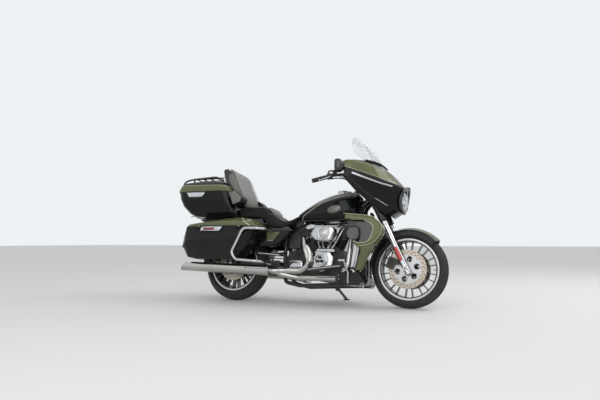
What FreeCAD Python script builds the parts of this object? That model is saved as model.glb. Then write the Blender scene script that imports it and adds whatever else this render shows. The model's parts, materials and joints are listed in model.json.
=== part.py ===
"""A full-dress touring cruiser motorcycle, parked on its side stand.

The machine is drawn upright and straight, in millimetres: X forward from the rear axle, Y to the
rider's left, Z up from the ground. Each piece is then placed as the motorcycle parks: the steered
pieces turned on the steering axis, and everything leaned to the left onto the side stand.
"""
import FreeCAD, Part
import math
import os
from FreeCAD import Placement, Rotation, Vector

# Wheels and steering geometry
WHEELBASE = 1625.0
REAR_TYRE_R = 327.5
REAR_TYRE_HALF = 90.0
REAR_CROWN_R = 92.0
REAR_BEAD_R = 228.6
REAR_BEAD_HALF = 68.0
FRONT_TYRE_R = 319.0
FRONT_TYRE_HALF = 65.0
FRONT_CROWN_R = 68.0
FRONT_BEAD_R = 241.3
FRONT_BEAD_HALF = 44.0
HEAD_ANGLE = 26.0
TRAIL = 170.0

# How it parks
LEAN = 8.0
PARKED_STEER = -4.0
ORIGIN_X = 673.4
ORIGIN_Y = 120.9
STAND_FOOT_X = 965.0
STAND_FOOT_Y = 405.0

# Clearances
RUN_GAP = 0.3
MOVE_GAP = 5.0

# Wheel details
CROWN_FLATS = 8
SPOKE_PAIRS = 10
SPOKE_WIDTH = 8.0
HUB_R = 34.0
FLANGE_RISE = 13.0
FLANGE_T = 7.0
AXLE_R = 12.5
AXLE_BORE_R = 7.0
DISC_T = 5.0
FRONT_DISC_R = 160.0
FRONT_DISC_Y = 77.0
REAR_DISC_R = 146.0
REAR_DISC_Y = 84.0
PULLEY_R = 98.0
PULLEY_Y = 106.0
BELT_W = 22.0
BELT_T = 6.0
DRIVE_X = 690.0
DRIVE_Z = 345.0
DRIVE_R = 46.0

# Fork
LEG_Y = 120.0
SLIDER_R = 25.0
SLIDER_TOP = 430.0
SLIDER_TAIL = 48.0
AXLE_HEAD = 9.0
FRONT_AXLE_END = LEG_Y + SLIDER_R + 1 + AXLE_HEAD
STANCHION_R = 21.0
COVER_R = 31.0
LOWER_YOKE_AT = 575.0
UPPER_YOKE_AT = 790.0
YOKE_T = 30.0
STEM_R = 15.0
NECK_R = 33.0

# Body panels
PANEL_T = 4.0
BAG_INNER_Y = 192.0
BAG_OUTER_Y = 392.0
BAG_LID_Z = 640.0
TRUNK_SPLIT_Z = 1000.0
LID_GAP = 0.3
GUARD_R = 12.0
TRUNK_HINGE = Vector(-300, 296, TRUNK_SPLIT_Z - 6)
TRUNK_HINGE_X = (-486.0, -150.0)
BAG_HINGE_X = (-224.0, 190.0)
BAG_HINGE_Y = BAG_OUTER_Y + 12
BAG_HINGE_Z = BAG_LID_Z - 6

# Engine
CRANK_X = 945.0
CRANK_Z = 368.0
V_HALF_ANGLE = 22.5
CYL_BASE = 140.0
CYL_TOP = 256.0
HEAD_TOP = 306.0
ROCKER_TOP = 346.0
FIN_T = 4.0
FIN_PITCH = 11.0
BARREL_R = 56.0
DECK_HALF = 66.0
LIFTER_TOP = 96.0
CAM_X = 908.0
CAM_Z = 367.0
PRIMARY_Y = 246.0
ROTOR_RISE = 6.0
HEAD_HALF_Y = 96.0

# Frame
DOWN_TUBE_R = 17.0

# Exhaust
MUFFLER_Y = 270.0
MUFFLER_R = 43.0
PIPE_R = 24.0


def lift_side(across):
    """Maps (a, b) to the side plane: a forward, b up, at the given Y."""
    return lambda p: Vector(p.x, across, p.y)


def lift_plan(height):
    """Maps (a, b) to the plan plane: a forward, b to the left, at the given Z."""
    return lambda p: Vector(p.x, p.y, height)


def lift_cross(station):
    """Maps (a, b) to the cross plane: a to the left, b up, at the given X."""
    return lambda p: Vector(station, p.x, p.y)


def rounded_wire(corners, lift):
    """A closed wire through corners (a, b, radius), each rounded by its radius."""
    turns = []
    count = len(corners)
    for index, (a, b, radius) in enumerate(corners):
        here = Vector(a, b, 0)
        before = Vector(corners[index - 1][0], corners[index - 1][1], 0) - here
        after = Vector(corners[(index + 1) % count][0], corners[(index + 1) % count][1], 0) - here
        before.normalize()
        after.normalize()
        if radius <= 0:
            turns.append((here, None, here))
            continue
        half = before.getAngle(after) / 2
        reach = radius / math.tan(half)
        inward = before + after
        inward.normalize()
        centre = here + inward * (radius / math.sin(half))
        turns.append((here + before * reach, centre - inward * radius, here + after * reach))
    edges = []
    for index, (start, middle, end) in enumerate(turns):
        following = turns[(index + 1) % count][0]
        if middle is not None:
            edges.append(Part.Arc(lift(start), lift(middle), lift(end)).toShape())
        if (following - end).Length > 1e-6:
            edges.append(Part.makeLine(lift(end), lift(following)))
    return Part.Wire(edges)


def slab(corners, lift_at, low, high):
    """The outline of corners, in the plane of lift_at, from one distance to another."""
    face = Part.Face(rounded_wire(corners, lift_at(low)))
    step = lift_at(high)(Vector(0, 0, 0)) - lift_at(low)(Vector(0, 0, 0))
    return face.extrude(step)


def side_slab(corners, y_low, y_high):
    return slab(corners, lift_side, y_low, y_high)


def plan_slab(corners, z_low, z_high):
    return slab(corners, lift_plan, z_low, z_high)


def box(x_low, x_high, y_low, y_high, z_low, z_high):
    return Part.makeBox(x_high - x_low, y_high - y_low, z_high - z_low, Vector(x_low, y_low, z_low))


def rod(start, end, radius):
    run = end - start
    return Part.makeCylinder(radius, run.Length, start, run)


def cross_rod(x, z, radius, y_low, y_high):
    return rod(Vector(x, y_low, z), Vector(x, y_high, z), radius)


def pipe(points, radius, bend):
    """A round bar along straight runs joined by tangent arcs of one bend radius."""
    pieces = []
    start = points[0]
    for index in range(1, len(points) - 1):
        here = points[index]
        before = points[index - 1] - here
        after = points[index + 1] - here
        limit = 0.47 * min(before.Length, after.Length)
        before.normalize()
        after.normalize()
        half = before.getAngle(after) / 2
        reach = min(bend / math.tan(half), limit)
        turn = reach * math.tan(half)
        inward = before + after
        inward.normalize()
        entry = here + before * reach
        pieces.append(rod(start, entry, radius))
        ring = Part.Face(Part.Wire(Part.Circle(entry, before, radius).toShape()))
        centre = here + inward * (turn / math.sin(half))
        pieces.append(ring.revolve(centre, after.cross(before), 180 - 2 * math.degrees(half)))
        start = here + after * reach
    pieces.append(rod(start, points[-1], radius))
    return fuse(pieces)


def turned(profile, x, z, angle=360.0, start=0.0):
    """A profile of (y, r) corners turned about the cross axis through (x, z)."""
    wire = rounded_wire([(y, r, round_r) for y, r, round_r in profile], lambda p: Vector(x, p.x, z + p.y))
    face = Part.Face(wire)
    face.rotate(Vector(x, 0, z), Vector(0, 1, 0), start)
    return face.revolve(Vector(x, 0, z), Vector(0, 1, 0), angle)


def fuse(shapes):
    whole = shapes[0]
    if len(shapes) > 1:
        whole = shapes[0].multiFuse(shapes[1:]).removeSplitter()
    return whole.Solids[0] if len(whole.Solids) == 1 else whole


def mirrored(shape):
    return shape.mirror(Vector(0, 0, 0), Vector(0, 1, 0))


def pair(shape):
    """The shape and its mirror image on the other side, as separate solids."""
    return Part.makeCompound([shape, mirrored(shape)])


def both(shape):
    """The shape fused with its mirror image, where the two meet on the centre plane."""
    return fuse([shape, mirrored(shape)])


KNUCKLE_R = 5.0
KNUCKLE_LENGTH = 24.0
KNUCKLE_REACH = 16.0
KNUCKLE_TAB = 10.5


def knuckles(x_places, y, z, side, on_lid):
    """Hinge knuckles on the X line through (y, z), with a tab to the wall: the lid's lie ahead of the box's."""
    pieces = []
    for x in x_places:
        low = x + RUN_GAP / 2 if on_lid else x - RUN_GAP / 2 - KNUCKLE_LENGTH
        high = low + KNUCKLE_LENGTH
        pieces.append(rod(Vector(low, y, z), Vector(high, y, z), KNUCKLE_R))
        if on_lid:
            web = sorted((y, y - side * KNUCKLE_R))
            tab = sorted((y, y - side * KNUCKLE_TAB))
            pieces.append(box(low, high, web[0], web[1], z, z + KNUCKLE_REACH))
            pieces.append(box(low, high, tab[0], tab[1], z + KNUCKLE_REACH - KNUCKLE_R, z + KNUCKLE_REACH))
        else:
            tab = sorted((y, y - side * KNUCKLE_REACH))
            pieces.append(box(low, high, tab[0], tab[1], z - KNUCKLE_REACH, z))
    return pieces


def rounded_box_section(low_a, high_a, low_b, high_b, radius, lift):
    corners = [(low_a, low_b, radius), (high_a, low_b, radius), (high_a, high_b, radius), (low_a, high_b, radius)]
    return rounded_wire(corners, lift)


def fork_point(along, y=0.0):
    """A point on the fork line: along mm up from the axle's height, y to the left."""
    tilt = math.radians(HEAD_ANGLE)
    return Vector(WHEELBASE - along * math.sin(tilt), y, FRONT_TYRE_R + along * math.cos(tilt))


def steer_point(along):
    """A point on the steering axis, along mm from where it meets the ground."""
    tilt = math.radians(HEAD_ANGLE)
    return Vector(WHEELBASE + TRAIL - along * math.sin(tilt), 0, along * math.cos(tilt))


FORK_DIR = Vector(-math.sin(math.radians(HEAD_ANGLE)), 0, math.cos(math.radians(HEAD_ANGLE)))
FORK_ALONG = steer_point(0).distanceToPoint(Vector(WHEELBASE, 0, FRONT_TYRE_R))


def crown_points(radius, half, crown):
    """The corners (y, r) of a tyre's crown: flats along its arc, from one shoulder to the other."""
    shoulder_turn = math.asin(half / crown)
    turns = [shoulder_turn * (2 * step / CROWN_FLATS - 1) for step in range(CROWN_FLATS + 1)]
    return [(crown * math.sin(turn), radius - crown + crown * math.cos(turn)) for turn in turns]


def tyre(radius, half, crown, bead_r, bead_half, x):
    """A tyre turned from its section: bead seat, side walls, and a crown of flats."""
    wall = [(-bead_half, bead_r), (-bead_half, bead_r + FLANGE_RISE + 1), (-half + 2, (bead_r + radius) / 2)]
    profile = wall + crown_points(radius, half, crown) + [(-y, r) for y, r in wall[::-1]]
    return turned([(y, r, 0) for y, r in profile], x, radius)


def cast_wheel(radius, bead_r, bead_half, x, hub_half):
    """A cast wheel: rim with two flanges, hub, and pairs of thin straight spokes."""
    outer = bead_half + RUN_GAP + FLANGE_T
    rim = turned([
        (-outer, bead_r - 14, 3), (-outer, bead_r + FLANGE_RISE, 3), (-bead_half - RUN_GAP, bead_r + FLANGE_RISE, 2),
        (-bead_half - RUN_GAP, bead_r - RUN_GAP, 0), (bead_half + RUN_GAP, bead_r - RUN_GAP, 0),
        (bead_half + RUN_GAP, bead_r + FLANGE_RISE, 2), (outer, bead_r + FLANGE_RISE, 3), (outer, bead_r - 14, 3),
        (bead_half - 12, bead_r - 8, 0), (-bead_half + 12, bead_r - 8, 0),
    ], x, radius)
    hub = cross_rod(x, radius, HUB_R, -hub_half, hub_half)
    pieces = [rim, hub]
    for index in range(SPOKE_PAIRS):
        for lean in (-1, 1):
            half = bead_half * 0.45
            spoke = box(x + HUB_R - 8, x + bead_r - 5, -half, half, -SPOKE_WIDTH / 2, SPOKE_WIDTH / 2)
            spoke.translate(Vector(0, 0, radius))
            spoke.rotate(Vector(x + HUB_R, 0, radius), Vector(0, 1, 0), 4.0 * lean)
            spoke.rotate(Vector(x, 0, radius), Vector(0, 1, 0), index * 360.0 / SPOKE_PAIRS + 7.0 * lean)
            pieces.append(spoke)
    wheel = fuse(pieces)
    return wheel.cut(cross_rod(x, radius, AXLE_R + RUN_GAP, -hub_half - 1, hub_half + 1))


def brake_disc(x, z, radius, y):
    """A drilled brake disc with its carrier, seated on the hub's end."""
    ring = cross_rod(x, z, radius, y - DISC_T / 2, y + DISC_T / 2)
    for index in range(6):
        angle = math.radians(60 * index + 15)
        reach = (radius - 42 + HUB_R + 14) / 2
        hole_x = x + reach * math.cos(angle)
        hole_z = z + reach * math.sin(angle)
        ring = ring.cut(cross_rod(hole_x, hole_z, reach * 0.3, y - 9, y + 9))
    return ring.cut(cross_rod(x, z, AXLE_R + RUN_GAP, y - 9, y + 9))


def caliper(x, z, disc_r, disc_y, half, angle, side):
    """A caliper block astride the disc, its slot clear of the turning disc."""
    reach = disc_r - 24
    block = box(x + reach - 30, x + reach + 34, side * disc_y - half, side * disc_y + half, z - 48, z + 48)
    block = block.makeFillet(9, [e for e in block.Edges if abs(e.tangentAt(0).y) > 0.9])
    slot_half = DISC_T / 2 + MOVE_GAP
    slot = cross_rod(x, z, disc_r + MOVE_GAP, side * disc_y - slot_half, side * disc_y + slot_half)
    block.rotate(Vector(x, 0, z), Vector(0, 1, 0), -angle)
    return block.cut(slot)


def front_caliper(side):
    """A front caliper with the bracket that bolts it to its fork leg."""
    block = caliper(WHEELBASE, FRONT_TYRE_R, FRONT_DISC_R, FRONT_DISC_Y, 30, 160, side)
    low, high = sorted((side * 97, side * 118))
    bracket = box(1520, 1600, low, high, 352, 396)
    leg = rod(fork_point(-SLIDER_TAIL, side * LEG_Y), fork_point(SLIDER_TOP, side * LEG_Y), SLIDER_R + RUN_GAP)
    trimmed = bracket.cut(leg)
    keep = sorted(trimmed.Solids, key=lambda solid: solid.CenterOfMass.x)[0]
    return fuse([block, keep])


def rear_caliper():
    """The rear caliper with its bracket on the right arm."""
    block = caliper(0, REAR_TYRE_R, REAR_DISC_R, REAR_DISC_Y, 26, 50, -1)
    bracket = box(46, 106, -ARM_IN + RUN_GAP, -104, 340, 440)
    return fuse([block, bracket])


def front_wheel_pieces():
    x = WHEELBASE
    z = FRONT_TYRE_R
    hub_half = FRONT_DISC_Y - DISC_T / 2
    discs = pair(brake_disc(x, z, FRONT_DISC_R, FRONT_DISC_Y))
    return {
        "front_tyre": tyre(z, FRONT_TYRE_HALF, FRONT_CROWN_R, FRONT_BEAD_R, FRONT_BEAD_HALF, x),
        "front_wheel": cast_wheel(z, FRONT_BEAD_R, FRONT_BEAD_HALF, x, hub_half),
        "front_discs": discs,
    }


def rear_wheel_pieces():
    x = 0.0
    z = REAR_TYRE_R
    hub_half = REAR_DISC_Y - DISC_T / 2
    ring = cross_rod(x, z, PULLEY_R - BELT_T, PULLEY_Y - BELT_W / 2, PULLEY_Y + BELT_W / 2)
    for index in range(5):
        angle = math.radians(72 * index)
        ring = ring.cut(cross_rod(x + 66 * math.cos(angle), z + 66 * math.sin(angle), 16, 0, 200))
    pulley = fuse([ring, cross_rod(x, z, 46, hub_half, PULLEY_Y)])
    pulley = pulley.cut(cross_rod(x, z, AXLE_R + RUN_GAP, 0, 200))
    return {
        "rear_tyre": tyre(z, REAR_TYRE_HALF, REAR_CROWN_R, REAR_BEAD_R, REAR_BEAD_HALF, x),
        "rear_wheel": cast_wheel(z, REAR_BEAD_R, REAR_BEAD_HALF, x, hub_half),
        "rear_disc": brake_disc(x, z, REAR_DISC_R, -REAR_DISC_Y),
        "rear_pulley": pulley,
    }


def belt_loop(rear_r, front_r):
    """The closed line round both pulleys: two arcs and two tangent runs, as a face at the belt's inner side."""
    run = Vector(DRIVE_X, 0, DRIVE_Z - REAR_TYRE_R)
    tilt = math.atan2(run.z, run.x)
    open_angle = math.acos((rear_r - front_r) / run.Length)
    y = PULLEY_Y - BELT_W / 2
    points = []
    for x, z, r in ((0, REAR_TYRE_R, rear_r), (DRIVE_X, DRIVE_Z, front_r)):
        for side in (1, -1):
            angle = tilt + side * open_angle
            points.append(Vector(x + r * math.cos(angle), y, z + r * math.sin(angle)))
    rear_top, rear_low, front_top, front_low = points
    behind = Vector(-rear_r * math.cos(tilt), y, REAR_TYRE_R - rear_r * math.sin(tilt))
    ahead = Vector(DRIVE_X + front_r * math.cos(tilt), y, DRIVE_Z + front_r * math.sin(tilt))
    edges = [Part.makeLine(rear_top, front_top), Part.Arc(front_top, ahead, front_low).toShape(),
             Part.makeLine(front_low, rear_low), Part.Arc(rear_low, behind, rear_top).toShape()]
    return Part.Face(Part.Wire(edges))


def drive_belt():
    inner_rear = PULLEY_R - BELT_T + RUN_GAP
    inner_front = DRIVE_R + RUN_GAP
    outer = belt_loop(inner_rear + BELT_T, inner_front + BELT_T).extrude(Vector(0, BELT_W, 0))
    return outer.cut(belt_loop(inner_rear, inner_front).extrude(Vector(0, BELT_W, 0)))


def axle(x, z, half, right_spacer, left_spacer):
    """A hollow axle with a head at each end and a spacer (near y, far y) beside the hub on each side."""
    solid = fuse([
        cross_rod(x, z, AXLE_R, -half, half),
        cross_rod(x, z, AXLE_R + 6, half, half + AXLE_HEAD),
        cross_rod(x, z, AXLE_R + 6, -half - AXLE_HEAD, -half),
        cross_rod(x, z, AXLE_R + 5, -right_spacer[1], -right_spacer[0]),
        cross_rod(x, z, AXLE_R + 5, left_spacer[0], left_spacer[1]),
    ])
    return solid.cut(cross_rod(x, z, AXLE_BORE_R, -half - 20, half + 20))


def fork_slider(side):
    y = side * LEG_Y
    leg = rod(fork_point(-SLIDER_TAIL, y), fork_point(SLIDER_TOP, y), SLIDER_R)
    collar = rod(fork_point(SLIDER_TOP - 26, y), fork_point(SLIDER_TOP, y), SLIDER_R + 3)
    leg = fuse([leg, collar])
    leg = leg.cut(cross_rod(WHEELBASE, FRONT_TYRE_R, AXLE_R + RUN_GAP, -200, 200))
    return leg.cut(rod(fork_point(120, y), fork_point(SLIDER_TOP + 5, y), STANCHION_R + RUN_GAP))


def fork_stanchion(side):
    y = side * LEG_Y
    tube = rod(fork_point(130, y), fork_point(UPPER_YOKE_AT + YOKE_T, y), STANCHION_R)
    cover = rod(fork_point(SLIDER_TOP + 12, y), fork_point(UPPER_YOKE_AT, y), COVER_R)
    return fuse([tube, cover])


def yoke(at):
    """One fork yoke: a flat plate across both legs and the steering stem."""
    centre = fork_point(at)
    outline = [
        (-34, -LEG_Y - 34, 26), (34, -LEG_Y - 34, 26), (46, 0, 0),
        (34, LEG_Y + 34, 26), (-34, LEG_Y + 34, 26), (-30, 0, 0),
    ]
    plate = plan_slab(outline, 0, YOKE_T)
    turn = Rotation(Vector(0, 1, 0), -HEAD_ANGLE)
    plate.Placement = Placement(centre, turn)
    return plate


def fork_yokes():
    stem = rod(steer_point(FORK_ALONG + LOWER_YOKE_AT + 3), steer_point(FORK_ALONG + UPPER_YOKE_AT + 40), STEM_R)
    risers = []
    for side in (-1, 1):
        foot = fork_point(UPPER_YOKE_AT + YOKE_T / 2, side * 50)
        risers.append(rod(foot, BAR_CLAMP + Vector(0, side * 50, 0), 16))
    for side in (-1, 1):
        low, high = sorted((side * 130, side * (WING_Y - RUN_GAP)))
        risers.append(box(1330, 1356, low, high, 938, 958))
    pieces = [yoke(LOWER_YOKE_AT), yoke(UPPER_YOKE_AT), stem, fork_stanchion(-1), fork_stanchion(1)] + risers
    whole = fuse(pieces)
    return whole.cut(both(bar_half(BAR_R + RUN_GAP)))


BAR_R = 13.0
BAR_CLAMP = fork_point(UPPER_YOKE_AT + YOKE_T + 14)
# The handlebar's right half, from the clamp out to the grip's end
BAR_ROUTE = [(BAR_CLAMP.x, 0, BAR_CLAMP.z), (BAR_CLAMP.x, -90, BAR_CLAMP.z), (1205, -200, 1078), (1130, -292, 1100),
             (1047, -336, 1085), (913, -430, 1028)]
GRIP_R = 17.0
CONTROL_R = 24.0


def bar_half(radius):
    return pipe([Vector(*p) for p in BAR_ROUTE], radius, 60)


def grip_line():
    """The bar's right end and the direction of its grip, outward."""
    end = Vector(*BAR_ROUTE[-1])
    out = end - Vector(*BAR_ROUTE[-2])
    out.normalize()
    return end, out


def control_housing(radius):
    end, out = grip_line()
    return rod(end - out * 165, end - out * 127, radius)


def handlebar():
    """The handlebar with its grips, control housings and levers."""
    right = bar_half(BAR_R)
    end, out = grip_line()
    grip = rod(end - out * 125, end + out * 6, GRIP_R)
    control = control_housing(CONTROL_R)
    lever_root = end - out * 158 + Vector(22, 0, 4)
    lever_tip = end - out * 2 + Vector(52, 10, 2)
    lever = rod(lever_root, lever_tip, 6)
    perch = rod(end - out * 158, lever_root + Vector(6, 0, 0), 9)
    return both(fuse([right, grip, control, lever, perch]))


def mirrors():
    centre = Vector(1121, -400, 1152)
    head = box(centre.x - 14, centre.x + 14, centre.y - 46, centre.y + 46, centre.z - 52, centre.z + 52)
    head = head.makeFillet(30, [e for e in head.Edges if abs(e.tangentAt(0).x) > 0.9])
    end, out = grip_line()
    foot = end - out * 135
    stem = pipe([foot, foot + Vector(0, 0, 48), centre + Vector(0, 20, -35)], 7, 15)
    stem = stem.cut(control_housing(CONTROL_R + RUN_GAP))
    return pair(fuse([head, sorted(stem.Solids, key=lambda solid: solid.CenterOfMass.z)[-1]]))


# Sections of the outer fairing from the centre out: y, then (x, z) of heel, chin, nose, brow and top
FAIRING_SECTIONS = [
    (0, (1492, 760), (1562, 800), (1602, 1000), (1511, 1106), (1400, 1208)),
    (100, (1474, 760), (1546, 802), (1584, 1003), (1496, 1118), (1394, 1210)),
    (180, (1425, 792), (1482, 834), (1526, 1014), (1450, 1140), (1362, 1213)),
    (250, (1346, 858), (1394, 886), (1448, 1032), (1388, 1162), (1316, 1216)),
    (320, (1250, 948), (1288, 970), (1340, 1070), (1302, 1178), (1242, 1214)),
    (368, (1186, 1028), (1208, 1044), (1240, 1108), (1220, 1180), (1182, 1206)),
    (390, (1158, 1066), (1170, 1078), (1184, 1124), (1176, 1170), (1154, 1188)),
]
# Rounding of the fairing's chin, nose and brow
FAIRING_ROUND = (0, 9, 22, 20, 0)


def inner_chain(chain, wall):
    """The chain of (x, z) points moved inward, to the rear, by the wall's thickness."""
    moved = []
    for index, (x, z) in enumerate(chain):
        before = chain[max(index - 1, 0)]
        after = chain[min(index + 1, len(chain) - 1)]
        along = Vector(after[0] - before[0], after[1] - before[1], 0)
        along.normalize()
        moved.append((x - along.y * wall, z + along.x * wall))
    return moved


def shell_between(sections, wall, rounds=None):
    """A ruled shell through chains of points at several Y stations, one wall thick, its corners rounded."""
    wires = []
    for section in sections:
        chain = list(section[1:])
        radii = list(rounds or [0] * len(chain))
        outer = [(x, z, r) for (x, z), r in zip(chain, radii)]
        inner = [(x, z, max(r - abs(wall), 0)) for (x, z), r in zip(inner_chain(chain, wall), radii)]
        wires.append(rounded_wire(outer + inner[::-1], lift_side(section[0])))
    return Part.makeLoft(wires, True, True)


def mirrored_sections(sections):
    return [(-section[0],) + tuple(section[1:]) for section in sections[:0:-1]] + list(sections)


STRIP_WIDTH = 14.0
STRIP_GAP = 0.7
HEADLAMP_Z = 900.0
HEADLAMP_R = 84.0


def outer_fairing():
    shell = shell_between(mirrored_sections(FAIRING_SECTIONS), PANEL_T, FAIRING_ROUND)
    hole = rod(Vector(1480, 0, HEADLAMP_Z), Vector(1640, 0, HEADLAMP_Z), HEADLAMP_R + 0.5)
    return shell.cut(hole)


def headlamp():
    shell = rod(Vector(1500, 0, HEADLAMP_Z), Vector(1585, 0, HEADLAMP_Z), HEADLAMP_R)
    dome = Part.makeSphere(190, Vector(1585 + 18 - 190, 0, HEADLAMP_Z))
    tube = rod(Vector(1580, 0, HEADLAMP_Z), Vector(1640, 0, HEADLAMP_Z), HEADLAMP_R)
    return fuse([shell, dome.common(tube)])


# Sections of the inner fairing: y, then (x, z) of its lower edge and its middle
WING_Y = 165.0
DASH_SECTIONS = [
    (0, (1262, 1092), (1272, 1134)), (120, (1262, 1092), (1268, 1132)), (WING_Y, (1262, 1092), (1264, 1130)),
]
WING_SECTIONS = [
    (WING_Y, (1398, 820), (1264, 1130)),
    (250, (1326, 872), (1240, 1090)),
    (320, (1236, 962), (1200, 1090)),
    (378, (1168, 1056), (1164, 1110)),
]


def below_top(y):
    """Where the inner fairing meets the outer one, just under its top edge."""
    x, z = fairing_top(y)
    return (x - 3.9, z - 4.1)


def inner_fairing():
    """The dash and the two side panels that close the fairing toward the rider."""
    dash_sections = [(y, low, middle, below_top(y)) for y, low, middle in DASH_SECTIONS]
    wing_sections = [(y, low, middle, below_top(y)) for y, low, middle in WING_SECTIONS]
    dash = shell_between(mirrored_sections(dash_sections), -PANEL_T)
    wing = shell_between(wing_sections, -PANEL_T)
    return fuse([dash, wing, mirrored(wing)])


# The windshield: y, then (x, z) of its middle and top
SHIELD_SECTIONS = [
    (0, (1302, 1364), (1166, 1486)), (80, (1296, 1362), (1162, 1480)), (150, (1280, 1350), (1168, 1458)),
    (205, (1258, 1330), (1176, 1424)), (240, (1240, 1306), (1186, 1390)), (262, (1238, 1274), (1206, 1330)),
]


def fairing_top(y):
    """The outer fairing's top edge at a distance from the centre, between its sections."""
    for near, far in zip(FAIRING_SECTIONS, FAIRING_SECTIONS[1:]):
        if y <= far[0]:
            share = (y - near[0]) / (far[0] - near[0])
            return (near[5][0] + share * (far[5][0] - near[5][0]), near[5][1] + share * (far[5][1] - near[5][1]))
    return FAIRING_SECTIONS[-1][5]


def windshield():
    """The clear screen, standing on the fairing's top edge."""
    sections = []
    for y, middle, top in SHIELD_SECTIONS:
        base = fairing_top(y)
        sections.append((y, (base[0] - 0.25, base[1] + RUN_GAP), middle, top))
    return shell_between(mirrored_sections(sections), PANEL_T)


def fairing_strips():
    """The bright lamp strip on each side of the fairing, just below its widest line."""
    bands = []
    for y, heel, chin, nose, brow, top in FAIRING_SECTIONS[1:]:
        run = Vector(chin[0] - nose[0], chin[1] - nose[1], 0)
        run.normalize()
        out = Vector(-run.y, run.x, 0) * STRIP_GAP
        near = Vector(nose[0], nose[1], 0) + run * 10 + out
        far = near + run * STRIP_WIDTH
        bands.append((y, (far.x, far.y), (near.x, near.y)))
    return pair(shell_between(bands[1:5], -PANEL_T))


FENDER_R = 338.0
FENDER_HALF = 84.0
REAR_FENDER_R = 346.0
REAR_FENDER_HALF = 108.0
FENDER_CROWN = 16.0


def fender(x, z, radius, half, skirt, start, angle):
    """A fender: a crowned channel turned about the wheel's axis over part of its circle."""
    section = [
        (-half, radius - skirt, 0), (-half, radius - 18, 26), (0, radius + FENDER_CROWN, 60), (half, radius - 18, 26),
        (half, radius - skirt, 0), (half - PANEL_T, radius - skirt, 0), (half - PANEL_T, radius - 22, 24),
        (0, radius + FENDER_CROWN - PANEL_T, 56), (-half + PANEL_T, radius - 22, 24),
        (-half + PANEL_T, radius - skirt, 0),
    ]
    return turned(section, x, z, angle, start)


def front_fender():
    """The front fender, with the brackets that carry it on the fork legs."""
    shell = fender(WHEELBASE, FRONT_TYRE_R, FENDER_R, FENDER_HALF, 62, -88, 134)
    pieces = [shell]
    for side in (-1, 1):
        low, high = sorted((side * (FENDER_HALF - 1), side * (LEG_Y - SLIDER_R - RUN_GAP)))
        pieces.append(box(1484, 1512, low, high, 566, 596))
    return fuse(pieces)


def crown_rise(half):
    """How far a fender's rounded crown stands above its radius."""
    slope = math.atan((FENDER_CROWN + 18) / half)
    return FENDER_CROWN - 60 * (1 / math.cos(slope) - 1)


def rear_fender():
    return fender(0, REAR_TYRE_R, REAR_FENDER_R, REAR_FENDER_HALF, 90, -100, 148)


NECK_LOW = steer_point(FORK_ALONG + LOWER_YOKE_AT + YOKE_T + 6)
NECK_HIGH = steer_point(FORK_ALONG + UPPER_YOKE_AT - 6)
NECK_MID = (NECK_LOW + NECK_HIGH) / 2
RAIL_Y = 122.0
SEAT_RAIL_Y = 128.0
SWING_X = 476.0
SWING_Z = 335.0
ARM_IN = 122.0
ARM_OUT = 146.0


def down_tube(side, radius):
    """One tube from the neck down, back under the engine, and up to the seat rail."""
    path = [NECK_MID + Vector(0, side * 14, 0), Vector(1225, side * 55, 835), Vector(1222, side * 118, 640),
            Vector(1205, side * RAIL_Y, 176), Vector(700, side * RAIL_Y, 150), Vector(560, side * 110, 176),
            Vector(514, side * 58, 250), Vector(514, side * 58, 560), Vector(508, side * 104, 628)]
    return pipe(path, radius, 60)


def frame():
    """Neck, backbone, down tubes, cradle rails, seat posts and the rails under the bags."""
    spine = [NECK_MID + Vector(-20, 0, 0), Vector(1180, 0, 850), Vector(760, 0, 738), Vector(545, 0, 622)]
    backbone = pipe(spine, 27, 120)
    tubes = [rod(NECK_LOW, NECK_HIGH, NECK_R), backbone]
    for side in (-1, 1):
        tubes.append(down_tube(side, DOWN_TUBE_R))
        rail = [Vector(560, side * 20, 634), Vector(505, side * 112, 628), Vector(200, side * SEAT_RAIL_Y, 650),
                Vector(-300, side * SEAT_RAIL_Y, 716)]
        tubes.append(pipe(rail, 14, 60))
    tubes.append(rod(Vector(1207, -RAIL_Y, 215), Vector(1207, RAIL_Y, 215), 14))
    tubes.append(rod(Vector(-270, -SEAT_RAIL_Y, 712), Vector(-270, SEAT_RAIL_Y, 712), 12))
    tubes.append(cross_rod(SWING_X, SWING_Z, 27, -ARM_IN + RUN_GAP, ARM_IN - RUN_GAP))
    for side in (-1, 1):
        low, high = sorted((side * (REAR_FENDER_HALF + RUN_GAP), side * 122))
        tubes.append(box(-22, 22, low, high, 596, 672))
        for x in (-260, 20):
            post_y = side * SEAT_RAIL_Y
            tubes.append(box(x - 18, x + 18, post_y - 11, post_y + 11, 672 - x * 0.13, TRUNK_SECTIONS[0][0] - RUN_GAP))
    tubes.append(cross_rod(1100, 826, 12, -TANK_TUNNEL + RUN_GAP, TANK_TUNNEL - RUN_GAP))
    whole = fuse(tubes)
    return whole.cut(rod(NECK_LOW - FORK_DIR * 20, NECK_HIGH + FORK_DIR * 20, STEM_R + RUN_GAP))


def swingarm():
    """Two box arms and their bridge ahead of the rear tyre."""
    arms = []
    for side in (-1, 1):
        outline = [(-48, 300, 12), (-48, 356, 12), (60, 366, 10), (SWING_X - 60, 362, 10), (SWING_X + 24, 366, 20),
                   (SWING_X + 24, 302, 20), (SWING_X - 60, 306, 10), (60, 296, 10)]
        low, high = sorted((side * ARM_IN, side * ARM_OUT))
        arms.append(side_slab(outline, low, high))
    bridge = box(SWING_X - 110, SWING_X - 66, -ARM_IN - 1, ARM_IN + 1, 318, 352)
    whole = fuse(arms + [bridge])
    return whole.cut(cross_rod(0, REAR_TYRE_R, AXLE_R + RUN_GAP, -220, 220))


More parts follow.
